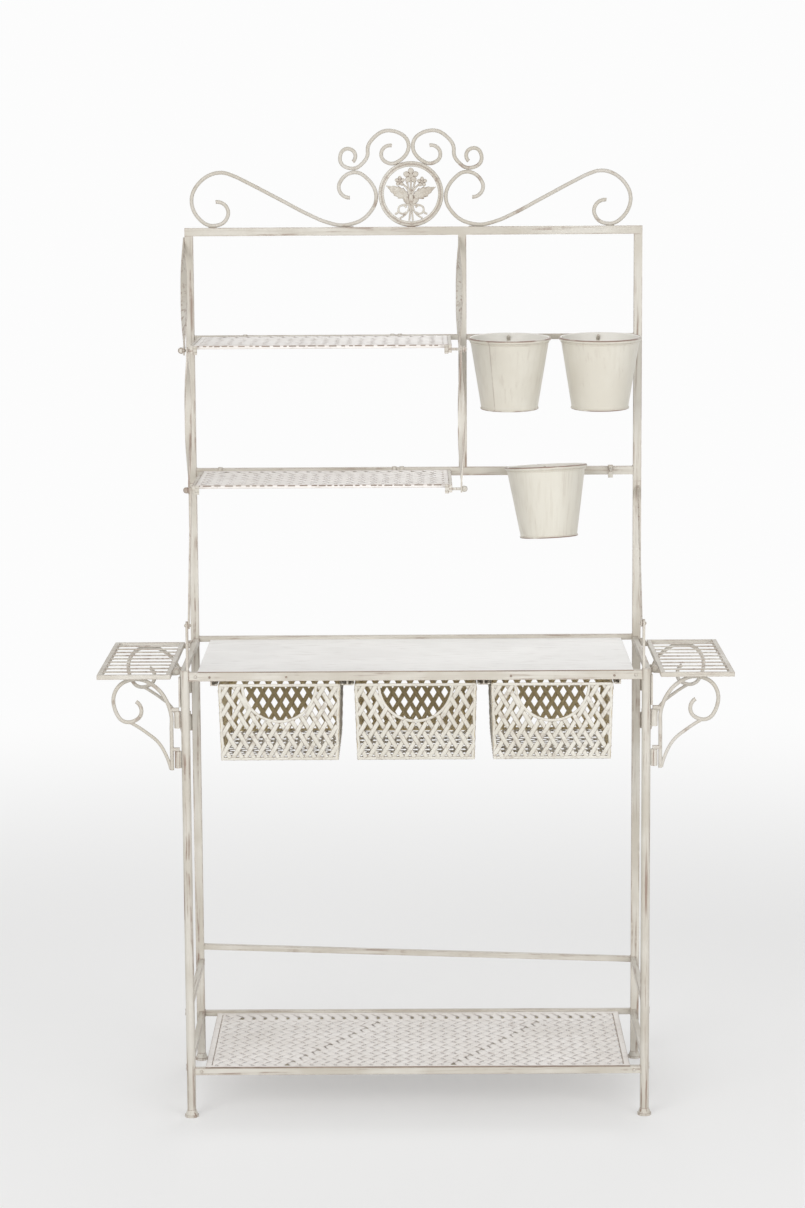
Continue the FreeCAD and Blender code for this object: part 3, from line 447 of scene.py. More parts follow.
# The outer edges of each strip go into the rub layer, for painted shade between the strips.
outer = maths(tree, "MULTIPLY_ADD", maths(tree, "ABSOLUTE", spot["Y"]), 6.67, -2.33, clamp=True)
rub = new_node(tree, "GeometryNodeStoreNamedAttribute", data_type="FLOAT", Name="rub", Value=outer)
shape = new_node(tree, "GeometryNodeSetPosition", Position=joined.outputs[0])
chain(tree, new_node(tree, "GeometryNodeCurvePrimitiveCircle", Resolution=10, Radius=0.5), rub, shape)
feed(tree, sweep.inputs["Profile Curve"], shape.outputs[0])
print("strip tree:", len(tree.nodes), "nodes")

# %% [markdown]
# The weave repeats every 21.5 mm across and 36 mm along, as the holes in the solid baskets do. In a
# panel's own flat plane the two families of strips are straight lines, and a strip goes over at every
# second crossing. A line is sampled, kept where it is inside the panel's outline, and lifted into space.

# %% Weave lines
cell_width, cell_height = 21.5 * mm, 36 * mm
half_step = hypot(cell_width, cell_height) / 2
samples_per_step = 4


def line_mesh(name, runs):
    """A mesh of open chains; each point is (place, face direction, lift, width)."""
    places, edges, faces, lifts, widths = [], [], [], [], []
    for run in runs:
        first = len(places)
        edges += [(first + i, first + i + 1) for i in range(len(run) - 1)]
        for place, facing, lifted, width in run:
            places.append(place)
            faces.extend(facing)
            lifts.append(lifted)
            widths.append(width)
    mesh = bpy.data.meshes.new(name)
    mesh.from_pydata(places, edges, [])
    mesh.attributes.new("face", "FLOAT_VECTOR", "POINT").data.foreach_set("vector", faces)
    mesh.attributes.new("lift", "FLOAT", "POINT").data.foreach_set("value", lifts)
    mesh.attributes.new("width", "FLOAT", "POINT").data.foreach_set("value", widths)
    return mesh


def plain_run(places, facing, width=1.0):
    """A run without a wave that faces one way."""
    return [(place, facing, 0.0, width) for place in places]


def straight(a, b, pitch=9 * mm):
    """Points from a to b, about a pitch apart."""
    count = max(2, int(dist(a, b) / pitch))
    return [(a[0] + (b[0] - a[0]) * i / count, a[1] + (b[1] - a[1]) * i / count) for i in range(count + 1)]


print("one crossing every", round(half_step / mm, 1), "mm")


# %% Panels
class Panel:
    """A flat panel: its middle foot, its directions, and a test for what is inside it."""

    def __init__(self, foot, right, rise, out, inside, reach_u, reach_v):
        self.foot, self.right, self.rise, self.out = Vector(foot), right, rise, out
        self.inside, self.reach_u, self.reach_v = inside, reach_u, reach_v

    def at(self, u, v, lift=0.0):
        return self.foot + self.right * u + self.rise * v + self.out * lift

    def weave(self, drawn_in=lambda u, v: (1.0, 0.0, 0.0)):
        """Strips of both families, cut to the panel; drawn_in gives a point's width and sideways shift."""
        span = self.reach_u + self.reach_v * cell_width / cell_height
        count = int(span / cell_width) + 1
        total = int(self.reach_v / cell_height * 2 * samples_per_step)
        runs = []
        for lean, k in product((1, -1), range(-count, count + 1)):
            runs.append([])
            for i in range(total + 1):
                half_steps = i / samples_per_step
                v = half_steps * cell_height / 2
                u = k * cell_width + lean * half_steps * cell_width / 2
                if self.inside(u, v):
                    width, du, dv = drawn_in(u, v)
                    lift = lean * cos(pi * half_steps)
                    runs[-1].append((self.at(u + du, v + dv), self.out, lift, width))
                else:
                    runs.append([])
        return [run for run in runs if len(run) > 1]

    def band(self, points, proud=0.0, wobble=0.0, width=1.0):
        """A flat band along points given in the panel's plane."""
        return plain_run([self.at(u + wobble * sin(v * 170), v, proud) for u, v in points], self.out, width)


print("weave sampled", samples_per_step, "times between crossings")

# %% [markdown]
# ## Baskets
# Each basket is five panels that lean out a little, with a smooth rim round the hand cut-out, plain
# edge bands and two lips that hang on the runners. The outside is cream, and the upright walls are
# olive-brown on their inner faces. The strips carry their panel's outward direction as an attribute,
# and the paint compares it with the surface normal, so no face has to be picked by hand.

# %% Basket paint
olive = (0.680, 0.570, 0.345, 1)
olive_dark = (0.520, 0.420, 0.235, 1)

# The basket paint lays painted shade into crevices and along the strips' edges.
basket_paint = paint("cream_basket_paint", (0.705, 0.680, 0.615, 1), (0.630, 0.600, 0.525, 1),
                     stretch=(0.5, 0.5, 0.5), streaks=0.35, wear=0.5, edge=0.8 * mm, dull=0.44, painted_shade=0.5,
                     reach=3 * mm, rub_and_shade_strength=0.6)
tree = basket_paint.node_tree
facing = new_node(tree, "ShaderNodeAttribute", attribute_name="face").outputs["Vector"]
inner = steps(tree, with_normal(tree, facing), 0.05, -0.25)
facing_up = new_node(tree, "ShaderNodeSeparateXYZ", Vector=facing).outputs["Z"]
upright_wall = steps(tree, maths(tree, "ABSOLUTE", facing_up), 0.8, 0.4)
place = new_node(tree, "ShaderNodeTexCoord").outputs["Object"]
brown = blend(tree, noise(tree, place, 30.0), olive, olive_dark)
colour_over(tree, maths(tree, "MULTIPLY", inner, upright_wall), brown)
print("basket paint ready")

# %% Basket sizes
basket_centres = {"left": -242.0 * mm, "middle": 0.0, "right": 242.0 * mm}
front_low, front_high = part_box("basket_middle_front")
basket_front, basket_floor, basket_top = front_low.y, front_low.z, front_high.z
top_width, taper, depth = 216 * mm, 4 * mm, 285 * mm
basket_rise = basket_top - basket_floor
slant = hypot(taper, basket_rise)
lean = atan2(taper, basket_rise)
wall, lip, cut_radius, rim = 1.2 * mm, 8 * mm, 63.5 * mm, 5.5 * mm
hand_rim, top_wire = 0.62, 0.42
print("basket rise", round(basket_rise / mm, 1), "front", round(basket_front / mm, 2))


# %% Basket panels
def curl(x, z, radius, start, end, count=9):
    """Points round part of a circle, in degrees."""
    angles = [radians(start + (end - start) * i / count) for i in range(count + 1)]
    return [(x + radius * cos(a), z + radius * sin(a)) for a in angles]


def level_panel(middle_x, front, height, facing, half, deep, edge):
    """A level panel, its middle foot at the front edge."""
    return Panel((middle_x, front, height), to_right, -forward, facing,
                 lambda u, v: abs(u) < half - edge and edge < v < deep - edge, half, deep)


def leaning_panel(foot, outward, low_width, high_width, cutout=False):
    """An upright panel whose top leans outwards."""
    outward = Vector(outward)
    right = outward.cross(up)
    rise = (outward * sin(lean) + up * cos(lean)).normalized()
    face = (outward * cos(lean) - up * sin(lean)).normalized()
    edge = rim / 3

    def inside(u, v):
        half = (low_width + (high_width - low_width) * v / slant) / 2 - edge
        open_hand = cutout and hypot(u, v - slant) < cut_radius + edge
        return abs(u) < half and edge < v < slant - edge and not open_hand

    return Panel(Vector(foot) - face * (wall / 2), right, rise, face, inside, high_width / 2, slant)


def panel_rims(panel, low_width, high_width, cutout=False):
    """Edge bands of a leaning panel, with the smooth hand rim."""
    b = rim / 2
    low, high = low_width / 2 - b, high_width / 2 - b
    runs = [panel.band(straight((-low, b), (low, b)))]
    for side in (-1, 1):
        runs.append(panel.band(straight((side * low, 0), (side * high, slant)), wobble=0.7 * mm, width=0.75))
    if cutout:
        hand = curl(0.0, slant - b * hand_rim, cut_radius + b * hand_rim, 180, 360, 36)
        runs.append(panel.band(hand, 0.5 * mm, width=hand_rim))
        wire = straight((-high, slant - wall), (high, slant - wall))
        runs.append(panel.band(wire, 0.6 * mm, width=top_wire))
    else:
        runs.append(panel.band(straight((-high, slant - b), (high, slant - b))))
    return runs


print("panels lean out by", round(degrees(lean), 2), "degrees")


# %% Basket pieces
def make_basket(x):
    low_width, low_depth = top_width - 2 * taper, depth - 2 * taper
    middle_y = basket_front + depth / 2
    front = leaning_panel((x, basket_front + taper, basket_floor), (0, -1, 0), low_width, top_width, True)
    back = leaning_panel((x, basket_front + depth - taper, basket_floor), (0, 1, 0), low_width, top_width)
    sides = [leaning_panel((x + s * low_width / 2, middle_y, basket_floor), (s, 0, 0), low_depth, depth)
             for s in (-1, 1)]
    bottom = level_panel(x, middle_y - low_depth / 2, basket_floor + wall / 2, -up, low_width / 2, low_depth,
                         rim / 3)
    front_rims = panel_rims(front, low_width, top_width, True)
    wall_weave = back.weave() + sides[0].weave() + sides[1].weave() + bottom.weave()
    wall_rims = panel_rims(back, low_width, top_width)
    for panel, s in zip(sides, (-1, 1)):
        wall_rims += panel_rims(panel, low_depth, depth)
        lip_u = depth / 2 - taper
        lip_x, lip_z = x + s * (top_width + lip) / 2, basket_top - wall / 2
        wall_rims.append(plain_run([Vector((lip_x, middle_y + u, lip_z))
                                    for u, v in straight((-lip_u, 0), (lip_u, 0))], up))
    return front.weave(), front_rims, wall_weave, wall_rims


def plain_mesh(name, shape, material=None):
    """Turns a shape that was built in code into a plain mesh."""
    mesh = bpy.data.meshes.new(name)
    shape.to_mesh(mesh)
    shape.free()
    if material:
        mesh.materials.append(material)
    return mesh


def join(name, pieces):
    """Several mesh objects made one."""
    whole = bmesh.new()
    for piece in pieces:
        whole.from_mesh(piece.data)
    mesh = plain_mesh(name, whole, pieces[0].data.materials[0])
    for piece in pieces:
        bpy.data.objects.remove(piece)
    return show(name, mesh)


def strips(name, runs, width, thickness, material, ridge=0.0, wave_height=0.0):
    return grow(strip_tree, line_mesh(name, runs), name, Strip_Width=width, Strip_Thickness=thickness,
                Ridge=ridge, Wave_Height=wave_height, Material=material)


print("pieces are woven and joined")

# %% Make the baskets
weave_width, weave_thickness, weave_wave = 8.3 * mm, 1.4 * mm, 1.05 * mm
for name, x in basket_centres.items():
    front, front_rims, walls, wall_rims = make_basket(x)
    for part, weave, rims in (("front", front, front_rims), ("walls", walls, wall_rims)):
        body = f"basket_{name}"
        woven = strips("weave", weave, weave_width, weave_thickness, basket_paint, 0.16 * mm, weave_wave)
        edges = strips("rims", rims, rim, 1.9 * mm, basket_paint)
        made = join(f"woven_{body}_{part}", [woven, edges])
        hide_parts(f"{body}_{part}")
        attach(made, body)
        print(made.name, len(made.data.polygons), "faces")

# %% [markdown]
# ## Woven shelves
# The two hanging shelves and the low shelf are the same stamped weave, pressed tight so that it closes,
# with open eyes only along a row at the back and two slanting rows. Wide strips from the same tree
# close the gaps, and the strips narrow beside each open eye, so the slots are real holes. A dark olive
# plate under each eye is painted shade, seen through the slot.

# %% Shelf weave
tight_width = 17.2 * mm
eye_width = 0.56
border = 9 * mm
shelf_wave, shelf_strip = 0.95 * mm, 1.1 * mm
# Dark olive plates under the eyes are painted shade, seen through the slots.
eye_shade_paint = paint("olive_eyes", (0.360, 0.310, 0.190, 1), (0.270, 0.228, 0.130, 1), (0.150, 0.120, 0.070, 1),
                  stretch=(0.5, 0.5, 0.5))


def eye_places(rows):
    """Rows are (u, v, step u, step v, count)."""
    return [(u + i * du, v + i * dv) for u, v, du, dv, count in rows for i in range(count)]


def beside_eyes(u, v, eyes):
    """Strips draw in beside an open eye, on the eye's side only."""
    for a, b in eyes:
        away = Vector((u - a, v - b))
        if abs(away.x) < 10 * mm and abs(away.y) < 15 * mm and hypot(away.x, away.y * 0.62) < 9 * mm:
            shift = Vector((away.x / cell_width, away.y / cell_height)).normalized()
            shift *= tight_width * (1 - eye_width) / 2
            return eye_width, shift.x, shift.y
    return 1.0, 0.0, 0.0


print("eyes open", round(tight_width * (1 - eye_width) / mm, 1), "mm on each side")


# %% Shelf pieces
def sheet_rims(panel, width):
    b, half, deep = width / 2, panel.reach_u, panel.reach_v
    runs = [panel.band(straight((-half, v), (half, v), 30 * mm), 0.5 * mm) for v in (b, deep - b)]
    for x in (b - half, half - b):
        runs.append(panel.band(straight((x, 0), (x, deep), 30 * mm), 0.55 * mm))
    return runs


def make_shelf(name, node, edge, rows, extra=()):
    low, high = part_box(node)
    panel = level_panel((low.x + high.x) / 2, low.y, high.z - 1.1 * mm, up, (high.x - low.x) / 2,
                        high.y - low.y, edge * 0.6)
    eyes = eye_places(rows)
    weave = panel.weave(lambda u, v: beside_eyes(u, v, eyes))
    woven = strips("weave", weave, tight_width, shelf_strip, woven_shelf, 0.14 * mm, shelf_wave)
    edges = strips("rims", sheet_rims(panel, edge), edge, 1.7 * mm, woven_shelf)
    made = join(name, [woven, edges, *extra])
    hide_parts(node)
    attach(made, "frame")
    # Painted shade: a dark plate under each eye.
    shade_runs = [panel.band(straight((u - 7 * mm, v), (u + 7 * mm, v), 5 * mm), -0.8 * mm) for u, v in eyes]
    eye_shade_plates = strips(name + "_eyes", shade_runs, 19 * mm, 0.5 * mm, eye_shade_paint)
    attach(eye_shade_plates, "frame")
    print(made.name, len(made.data.polygons), "faces,", len(eyes), "eyes")


def edge_run(x0, x1, y, z, count=8):
    """A run from left to right that faces the front."""
    return plain_run([Vector((x0 + (x1 - x0) * i / count, y, z)) for i in range(count + 1)], forward)


def front_fold(node):
    """The turned-down front edge of a hanging shelf."""
    low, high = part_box(node)
    run = edge_run(low.x, high.x, low.y + 0.6 * mm, (low.z + high.z) / 2 - 0.3 * mm, 16)
    return strips("fold", [run], high.z - low.z - 0.4 * mm, 1.3 * mm, woven_shelf)


def back_eyes(node, from_back, rows=1):
    """Rows of eyes near the back edge, every second row half a cell along."""
    low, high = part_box(node)
    columns = int((high.x - low.x) / 2 / cell_width) - 1
    v = round((high.y - low.y - from_back) / cell_height) * cell_height
    return [(-columns * cell_width + cell_width / 2 * ((r + 1) % 2), v - r * cell_height / 2, cell_width, 0.0,
             2 * columns) for r in range(rows)]


print("shelf border", round(border / mm, 1), "mm")

# %% Make the shelves
for shelf in ("upper", "middle"):
    node = f"{shelf}_shelf_sheet"
    make_shelf(f"woven_{shelf}_shelf", node, border, back_eyes(node, 30 * mm, 2), [front_fold(node)])

low_rows = back_eyes("lower_shelf_sheet", 20 * mm)
low_rows += [(start * cell_width, cell_height / 2, cell_width / 2, cell_height / 2, 17) for start in (-11, 3)]
make_shelf("woven_low_shelf", "lower_shelf_sheet", 12 * mm, low_rows)

# %% [markdown]
# ## Pots
# The pots are rolled from thin sheet: a vertical seam, a rim curled over wire, a bead at the foot and a
# hole for the peg. A pot could be spun with the Screw modifier. Turning the profile in code lets the
# seam and the slight flats of a hand-rolled pot be part of the same mesh.

# %% Pot shape
pot_low, pot_high, pot_tall, pot_wall = 51.5 * mm, 73.0 * mm, 132.0 * mm, 1.0 * mm
around = 112
hole_under_rim, hole_width = 11 * mm, 6.5 * mm


def pot_profile():
    """Radius and height from the middle of the base, up the outside, over the rim and down inside."""
    slope = (pot_high - pot_low) / pot_tall
    def outer(z):
        return pot_low + slope * z
    points = [(0.0, 1.2 * mm), (pot_low * 0.55, 1.2 * mm), (pot_low - 5 * mm, 1.2 * mm),
              (pot_low - 3 * mm, 0.0)]
    points += curl(pot_low + 0.2 * mm, 2.0 * mm, 2.0 * mm, -100, 75)
    heights = (5.2, 8, 20, 40, 60, 80, 100, 112, 121.5)
    points += [(outer(z * mm), z * mm) for z in heights]
    points += [(outer(122.4 * mm) + 0.9 * mm, 122.4 * mm), (outer(123.6 * mm) + 1.1 * mm, 123.6 * mm),
               (outer(124.8 * mm) + 0.2 * mm, 124.8 * mm)]
    points += curl(pot_high + 0.2 * mm, pot_tall - 3.1 * mm, 3.0 * mm, -75, 150)
    points += [(outer(z * mm) - pot_wall, z * mm) for z in (127, 112, 90, 60, 30, 5)]
    points += [(pot_low - 3 * mm, 2.2 * mm), (pot_low * 0.5, 2.2 * mm), (0.0, 2.2 * mm)]
    return points


print("pot profile of", len(pot_profile()), "points")


# %% Pot wall
def smooth_out(shape):
    """Turns all faces outwards and shades them smooth."""
    bmesh.ops.recalc_face_normals(shape, faces=shape.faces)
    for face in shape.faces:
        face.smooth = True


def spin(profile, turns, bulge=lambda angle, r, z: 0.0, rub=lambda angle, r, z: 0.0):
    """Turns a profile round Z into a closed mesh; rub is kept as a layer for the paint."""
    made = bmesh.new()
    rubs = made.verts.layers.float.new("rub")
    rings = []
    for r, z in profile:
        if r == 0.0:
            rings.append([made.verts.new((0, 0, z))] * turns)
            continue
        row = []
        for i in range(turns):
            angle = 2 * pi * i / turns
            reach = r + bulge(angle, r, z)
            row.append(made.verts.new((reach * cos(angle), reach * sin(angle), z)))
            row[-1][rubs] = rub(angle, r, z)
        rings.append(row)
    for low, high in zip(rings, rings[1:]):
        for i in range(turns):
            j = (i + 1) % turns
            corners = list(dict.fromkeys((low[i], low[j], high[j], high[i])))
            if len(corners) > 2:
                made.faces.new(corners)
    smooth_out(made)
    return made


def seam_offset(seam_degrees, angle, r):
    """How far round the wall a point lies from the seam."""
    turn = angle - radians(seam_degrees)
    return atan2(sin(turn), cos(turn)) * r


def seam_at(seam_degrees):
    """A narrow lap seam, and the faint flats of a hand-rolled wall."""
    def bulge(angle, r, z):
        ridge = 0.0
        if 6 * mm < z < 121 * mm:
            ridge = exp(-(seam_offset(seam_degrees, angle, r) / (2.2 * mm)) ** 2)
        return 0.5 * mm * ridge + 0.18 * mm * sin(3 * angle + 1.0) * z / pot_tall
    return bulge


def wear_and_light_at(seam_degrees):
    """Brown shows along the seam, on the rim and round the foot; below 0 is the inside's painted light."""
    def rub(angle, r, z):
        if z > 1.9 * mm and r < pot_low + (pot_high - pot_low) * z / pot_tall - 0.6 * pot_wall:
            return -1.0
        seam = 0.55 * exp(-(seam_offset(seam_degrees, angle, r) / (2.0 * mm)) ** 2)
        rim = 1.0 if z > 129.2 * mm else 0.0
        foot = 1.0 if z < 2.3 * mm and r > pot_low - 2 * mm else 0.0
        return max(seam, rim, foot)
    return rub


print("pots turned in", around, "steps")


# %% Pot place and peg hole
def pot_place(hole, lean_degrees, roll_degrees):
    drop = pot_tall - hole_under_rim
    reach = pot_low + (pot_high - pot_low) * drop / pot_tall
    hole = Vector(hole)
    roll_turn = Matrix.Rotation(radians(roll_degrees), 4, "Y")
    lean_turn = Matrix.Rotation(radians(lean_degrees), 4, "X")
    return Matrix.Translation(hole) @ roll_turn @ lean_turn @ Matrix.Translation((0, -reach, -drop))


def pierce(piece, place, width, length):
    """Cuts a round hole along Y with a throw-away cutter."""
    bpy.ops.mesh.primitive_cylinder_add(vertices=20, radius=width / 2, depth=length, location=place,
                                        rotation=(pi / 2, 0, 0))
    cutter = bpy.context.object
    cut = piece.modifiers.new("hole", "BOOLEAN")
    cut.object, cut.operation, cut.solver = cutter, "DIFFERENCE", "EXACT"
    shown = piece.evaluated_get(bpy.context.evaluated_depsgraph_get())
    plain = bpy.data.meshes.new_from_object(shown)
    plain.set_sharp_from_angle(angle=radians(35))
    piece.modifiers.clear()
    piece.data = plain
    bpy.data.objects.remove(cutter)


print("pot holes lie", round(hole_under_rim / mm, 1), "mm under the rim")

# %% Make the pots
pots = {"pot_upper_left": ((175 * mm, 174.75 * mm, 1378.8 * mm), 2.5, 0, 238),
        "pot_upper_right": ((341 * mm, 174.75 * mm, 1378.8 * mm), 2.5, 0, 75),
        "pot_lower": ((242 * mm, 172.25 * mm, 1134.8 * mm), -4, -2.5, 100)}
for name, (hole, lean_degrees, roll_degrees, seam) in pots.items():
    shell = spin(pot_profile(), around, seam_at(seam), wear_and_light_at(seam))
    shell.transform(pot_place(hole, lean_degrees, roll_degrees))
    made = show("rolled_" + name, plain_mesh("rolled_" + name, shell, pot_paint))
    pierce(made, hole, hole_width, 12 * mm)
    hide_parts(name)
    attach(made, name)
    print(made.name, len(made.data.polygons), "faces")

# %% [markdown]
# ## Crest ring
# The ring in the crest is cast with a stepped face: an outer ridge, a groove and an inner ridge. The
# same spin that made the pots turns its profile, which is then tipped to face the front.

# %% Crest ring
ring_low, ring_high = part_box("crest_ring")
ring_middle = (ring_low + ring_high) / 2
ring_reach = (ring_high.x - ring_low.x) / 2
ring_profile = [(ring_reach - a * mm, h * mm) for a, h in (
    (10.0, -2.2), (10.0, 2.0), (9.3, 3.2), (8.0, 3.8), (6.6, 3.3), (5.9, 2.3), (5.2, 2.2), (4.6, 3.0),
    (3.4, 4.6), (1.8, 4.7), (0.5, 3.6), (0.0, 2.0), (0.0, -2.2), (1.2, -3.8), (8.8, -3.8), (10.0, -2.2))]
turned = spin(ring_profile, 128)
bmesh.ops.remove_doubles(turned, verts=turned.verts, dist=0.01 * mm)
smooth_out(turned)
turned.transform(Matrix.Translation(ring_middle) @ Matrix.Rotation(radians(90), 4, "X"))
stepped_ring = show("stepped_ring", plain_mesh("stepped_ring", turned, casting))
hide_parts("crest_ring")
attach(stepped_ring, "frame")
print("ring", round(2 * ring_reach / mm, 1), "mm across")

# %% [markdown]
# ## Bouquet
# The bouquet in the ring is a flat casting: three flowers on bent stems, two toothed leaves, a knot, a
# stalk that splits at the foot, and a ribbon. It could be sculpted. Here a petal and a leaf are one kind
# of piece, a plate that swells in the middle, with its outline given by a formula along its length.
# Stems and ribbon are swept with the strip tree.

# %% Bouquet plates
def in_ring(x, z, out=0.0):
    """A place in the ring, in millimetres from its middle; out is towards the front."""
    return ring_middle + Vector((x, -out, z)) * mm


def swelling(made, root, tip, half_width, height, outline, ribs=lambda t, s: 0.0, rows=16, columns=8):
    """Adds a closed plate from root to tip: flat behind, swelling in front."""
    along = tip - root
    aside = along.cross(forward).normalized()
    fronts, backs = [], []
    for i in range(rows + 1):
        t = i / rows
        width = half_width * max(0.06, outline(t))
        for j in range(columns + 1):
            s = 2 * j / columns - 1
            flat = root + along * t + aside * (s * width)
            rise = height * sqrt(1 - s * s) + ribs(t, s) * (1 - s * s)
            rise *= sqrt(max(0.06, outline(t)))
            fronts.append(made.verts.new(flat + forward * rise))
            backs.append(made.verts.new(flat - forward * 1.2 * mm))
    wide = columns + 1
    for grid in (fronts, backs):
        for i in range(rows):
            for j in range(columns):
                a = i * wide + j
                made.faces.new((grid[a], grid[a + 1], grid[a + wide + 1], grid[a + wide]))
    border = list(range(columns)) + [i * wide + columns for i in range(rows)]
    border += [rows * wide + j for j in range(columns, 0, -1)] + [i * wide for i in range(rows, 0, -1)]
    for a, b in zip(border, border[1:] + border[:1]):
        made.faces.new((fronts[a], fronts[b], backs[b], backs[a]))


print("plates are flat behind and swell to the front")


# %% Petals and leaves
def petal_outline(t):
    return 0.30 + 0.70 * sin(pi * t ** 1.25)


def leaf_outline(t):
    return sin(pi * t ** 0.72) * (0.74 + 0.26 * ((t * 5) % 1.0))


def leaf_veins(t, s):
    middle = -1.0 * mm * exp(-(s / 0.14) ** 2)
    return middle + 0.35 * mm * cos(2 * pi * (t * 5 - abs(s)))


def flower(made, x, z, reach, out):
    """Five round petals with a groove each, round a dimpled heart."""
    heart = in_ring(x, z, out)
    for k in range(5):
        turn = 2 * pi * k / 5
        aim = Vector((sin(turn), 0, cos(turn)))
        swelling(made, heart + aim * 0.12 * reach * mm, heart + aim * reach * mm, 0.38 * reach * mm, 1.9 * mm,
                 petal_outline, lambda t, s: -0.9 * mm * exp(-(s / 0.2) ** 2) * t, 9, 8)
    profile = [(0.0, 1.4), (0.10, 1.5), (0.19, 2.5), (0.27, 2.2), (0.32, 0.4), (0.32, -1.0), (0.0, -1.0)]
    boss = spin([(r * reach * mm, h * mm) for r, h in profile], 18)
    boss.transform(Matrix.Translation(heart) @ Matrix.Rotation(radians(90), 4, "X"))
    made.from_mesh(plain_mesh("boss", boss))


plates = bmesh.new()
flower(plates, 0, 33.5, 14.5, 2.6)
flower(plates, -20.5, 23.5, 9.6, 2.2)
flower(plates, 20.5, 22.0, 9.6, 2.2)
for side, tip in ((-1, (-45.5, 15.0)), (1, (45.5, 12.5))):
    swelling(plates, in_ring(side * 4, -6, 1.0), in_ring(*tip, 1.0), 11.8 * mm, 2.6 * mm,
             leaf_outline, leaf_veins, 30, 12)
    swelling(plates, in_ring(side * 1.5, -20, 1.2), in_ring(side * 13.5, -4.5, 1.2), 5.5 * mm, 2.4 * mm,
             petal_outline, rows=10)
swelling(plates, in_ring(0, -21, 2.0), in_ring(0, 1.0, 2.0), 5.0 * mm, 2.8 * mm, petal_outline, rows=10)
smooth_out(plates)
plate_piece = show("plates", plain_mesh("plates", plates, bouquet_paint))
print("petals and leaves:", len(plate_piece.data.polygons), "faces")


# %% Bouquet stems and ribbon
def bend(a, b, c, out=1.2, wide=(1.0, 1.0), count=12):
    """A run for the strip tree, along a bend from a to c that leans towards b."""
    run = []
    for i in range(count + 1):
        t = i / count
        x, z = ((1 - t) ** 2 * a[k] + 2 * t * (1 - t) * b[k] + t * t * c[k] for k in (0, 1))
        run.append((in_ring(x, z, out), forward, 0.0, wide[0] + (wide[1] - wide[0]) * t))
    return run


def loop(x, z, radius, start, end, out=1.6, count=22):
    """A run round part of a circle, in degrees."""
    return plain_run([in_ring(u, v, out) for u, v in curl(x, z, radius, start, end, count)], forward)


stems = [bend((0, -8), (0, 10), (0, 27)), bend((-2, -8), (-2.5, 12), (-19, 20)),
         bend((2, -8), (2.5, 12), (19, 19)), bend((-1, -6), (-4, 12), (-8.5, 25), wide=(0.8, 0.55)),
         bend((1, -6), (4, 12), (8.5, 25), wide=(0.8, 0.55))]
ribbon = []
for side in (-1, 1):
    stems.append(bend((side * 3.2, -18), (side * 2.4, -36), (side * 21, -44.5), wide=(1.2, 1.9)))
    stems.append(bend((side * 1.4, -20), (side * 1.4, -34), (side * 3.5, -49), wide=(1.1, 1.7)))
    ribbon.append(loop(side * 15.5, -28.5, 7.8, 90 + side * 65, 90 - side * 235))
    ribbon.append(bend((side * 3, -21), (side * 9, -18), (side * 16, -20.7), 1.8))
    ribbon.append(bend((side * 23, -29), (side * 24, -37), (side * 30, -36), 1.4, (1.0, 0.7)))
swept = strips("stems", stems, 3.7 * mm, 3.6 * mm, bouquet_paint)
bands = strips("ribbon", ribbon, 3.9 * mm, 2.8 * mm, bouquet_paint)
bouquet = join("cast_bouquet", [plate_piece, swept, bands])
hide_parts("crest_bouquet")
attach(bouquet, "frame")
print("bouquet", len(bouquet.data.polygons), "faces")

# %% [markdown]
# ## Rubbed lines
# Along the front edges of the table and the shelves the paint is rubbed through in a thin brown line,
# unbroken on the table and the low shelf and dashed on the hanging shelves. A painted mask could do it.
# Thin strips from the same tree keep the line sharp at any size of picture.

# %% Rubbed lines
chance = random.Random(7)


def top_run(a, b, z):
    """A run along a level sheet."""
    return plain_run([Vector((x, y, z)) for x, y in straight(a, b, 30 * mm)], up)


def dashes(x0, x1, y, z):
    """Short runs with gaps of chance lengths."""
    runs, x = [], x0
    while x < x1 - 12 * mm:
        length = chance.uniform(5, 16) * mm
        runs.append(edge_run(x, min(x + length, x1), y, z + chance.uniform(-0.3, 0.3) * mm, 3))
        x += length + chance.uniform(3, 9) * mm
    return runs


lines = []
for node in ("table_sheet", "lower_shelf_sheet"):
    low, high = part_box(node)
    lines.append(edge_run(low.x, high.x, low.y - 0.3 * mm, low.z + 0.2 * mm, 24))
for node in ("upper_shelf_sheet", "middle_shelf_sheet"):
    low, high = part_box(node)
    lines += dashes(low.x + 2 * mm, high.x - 2 * mm, low.y - 0.2 * mm, high.z - 1.6 * mm)
low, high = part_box("lower_shelf_sheet")
above_sheet = high.z + 0.2 * mm
lines.append(top_run((low.x, low.y + 1.4 * mm), (high.x, low.y + 1.4 * mm), above_sheet))
for x in (low.x + 11 * mm, high.x - 11 * mm):
    lines.append(top_run((x, low.y + 14 * mm), (x, high.y - 16 * mm), above_sheet - 0.4 * mm))
edge_lines = strips("rubbed_edge_lines", lines, 1.9 * mm, 1.0 * mm, rubbed_edge)
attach(edge_lines, "frame")
print(len(lines), "rubbed lines")

# %% [markdown]
# ## Welds
# The bars are welded, and each joint has a lumpy bead round it. Beads could be placed one by one. A node
# tree sets a small faceted lump on every point it is given, with a chance size and turn from a fixed
# seed. The points are read from the bars themselves: the corners at each end give the place and the size.

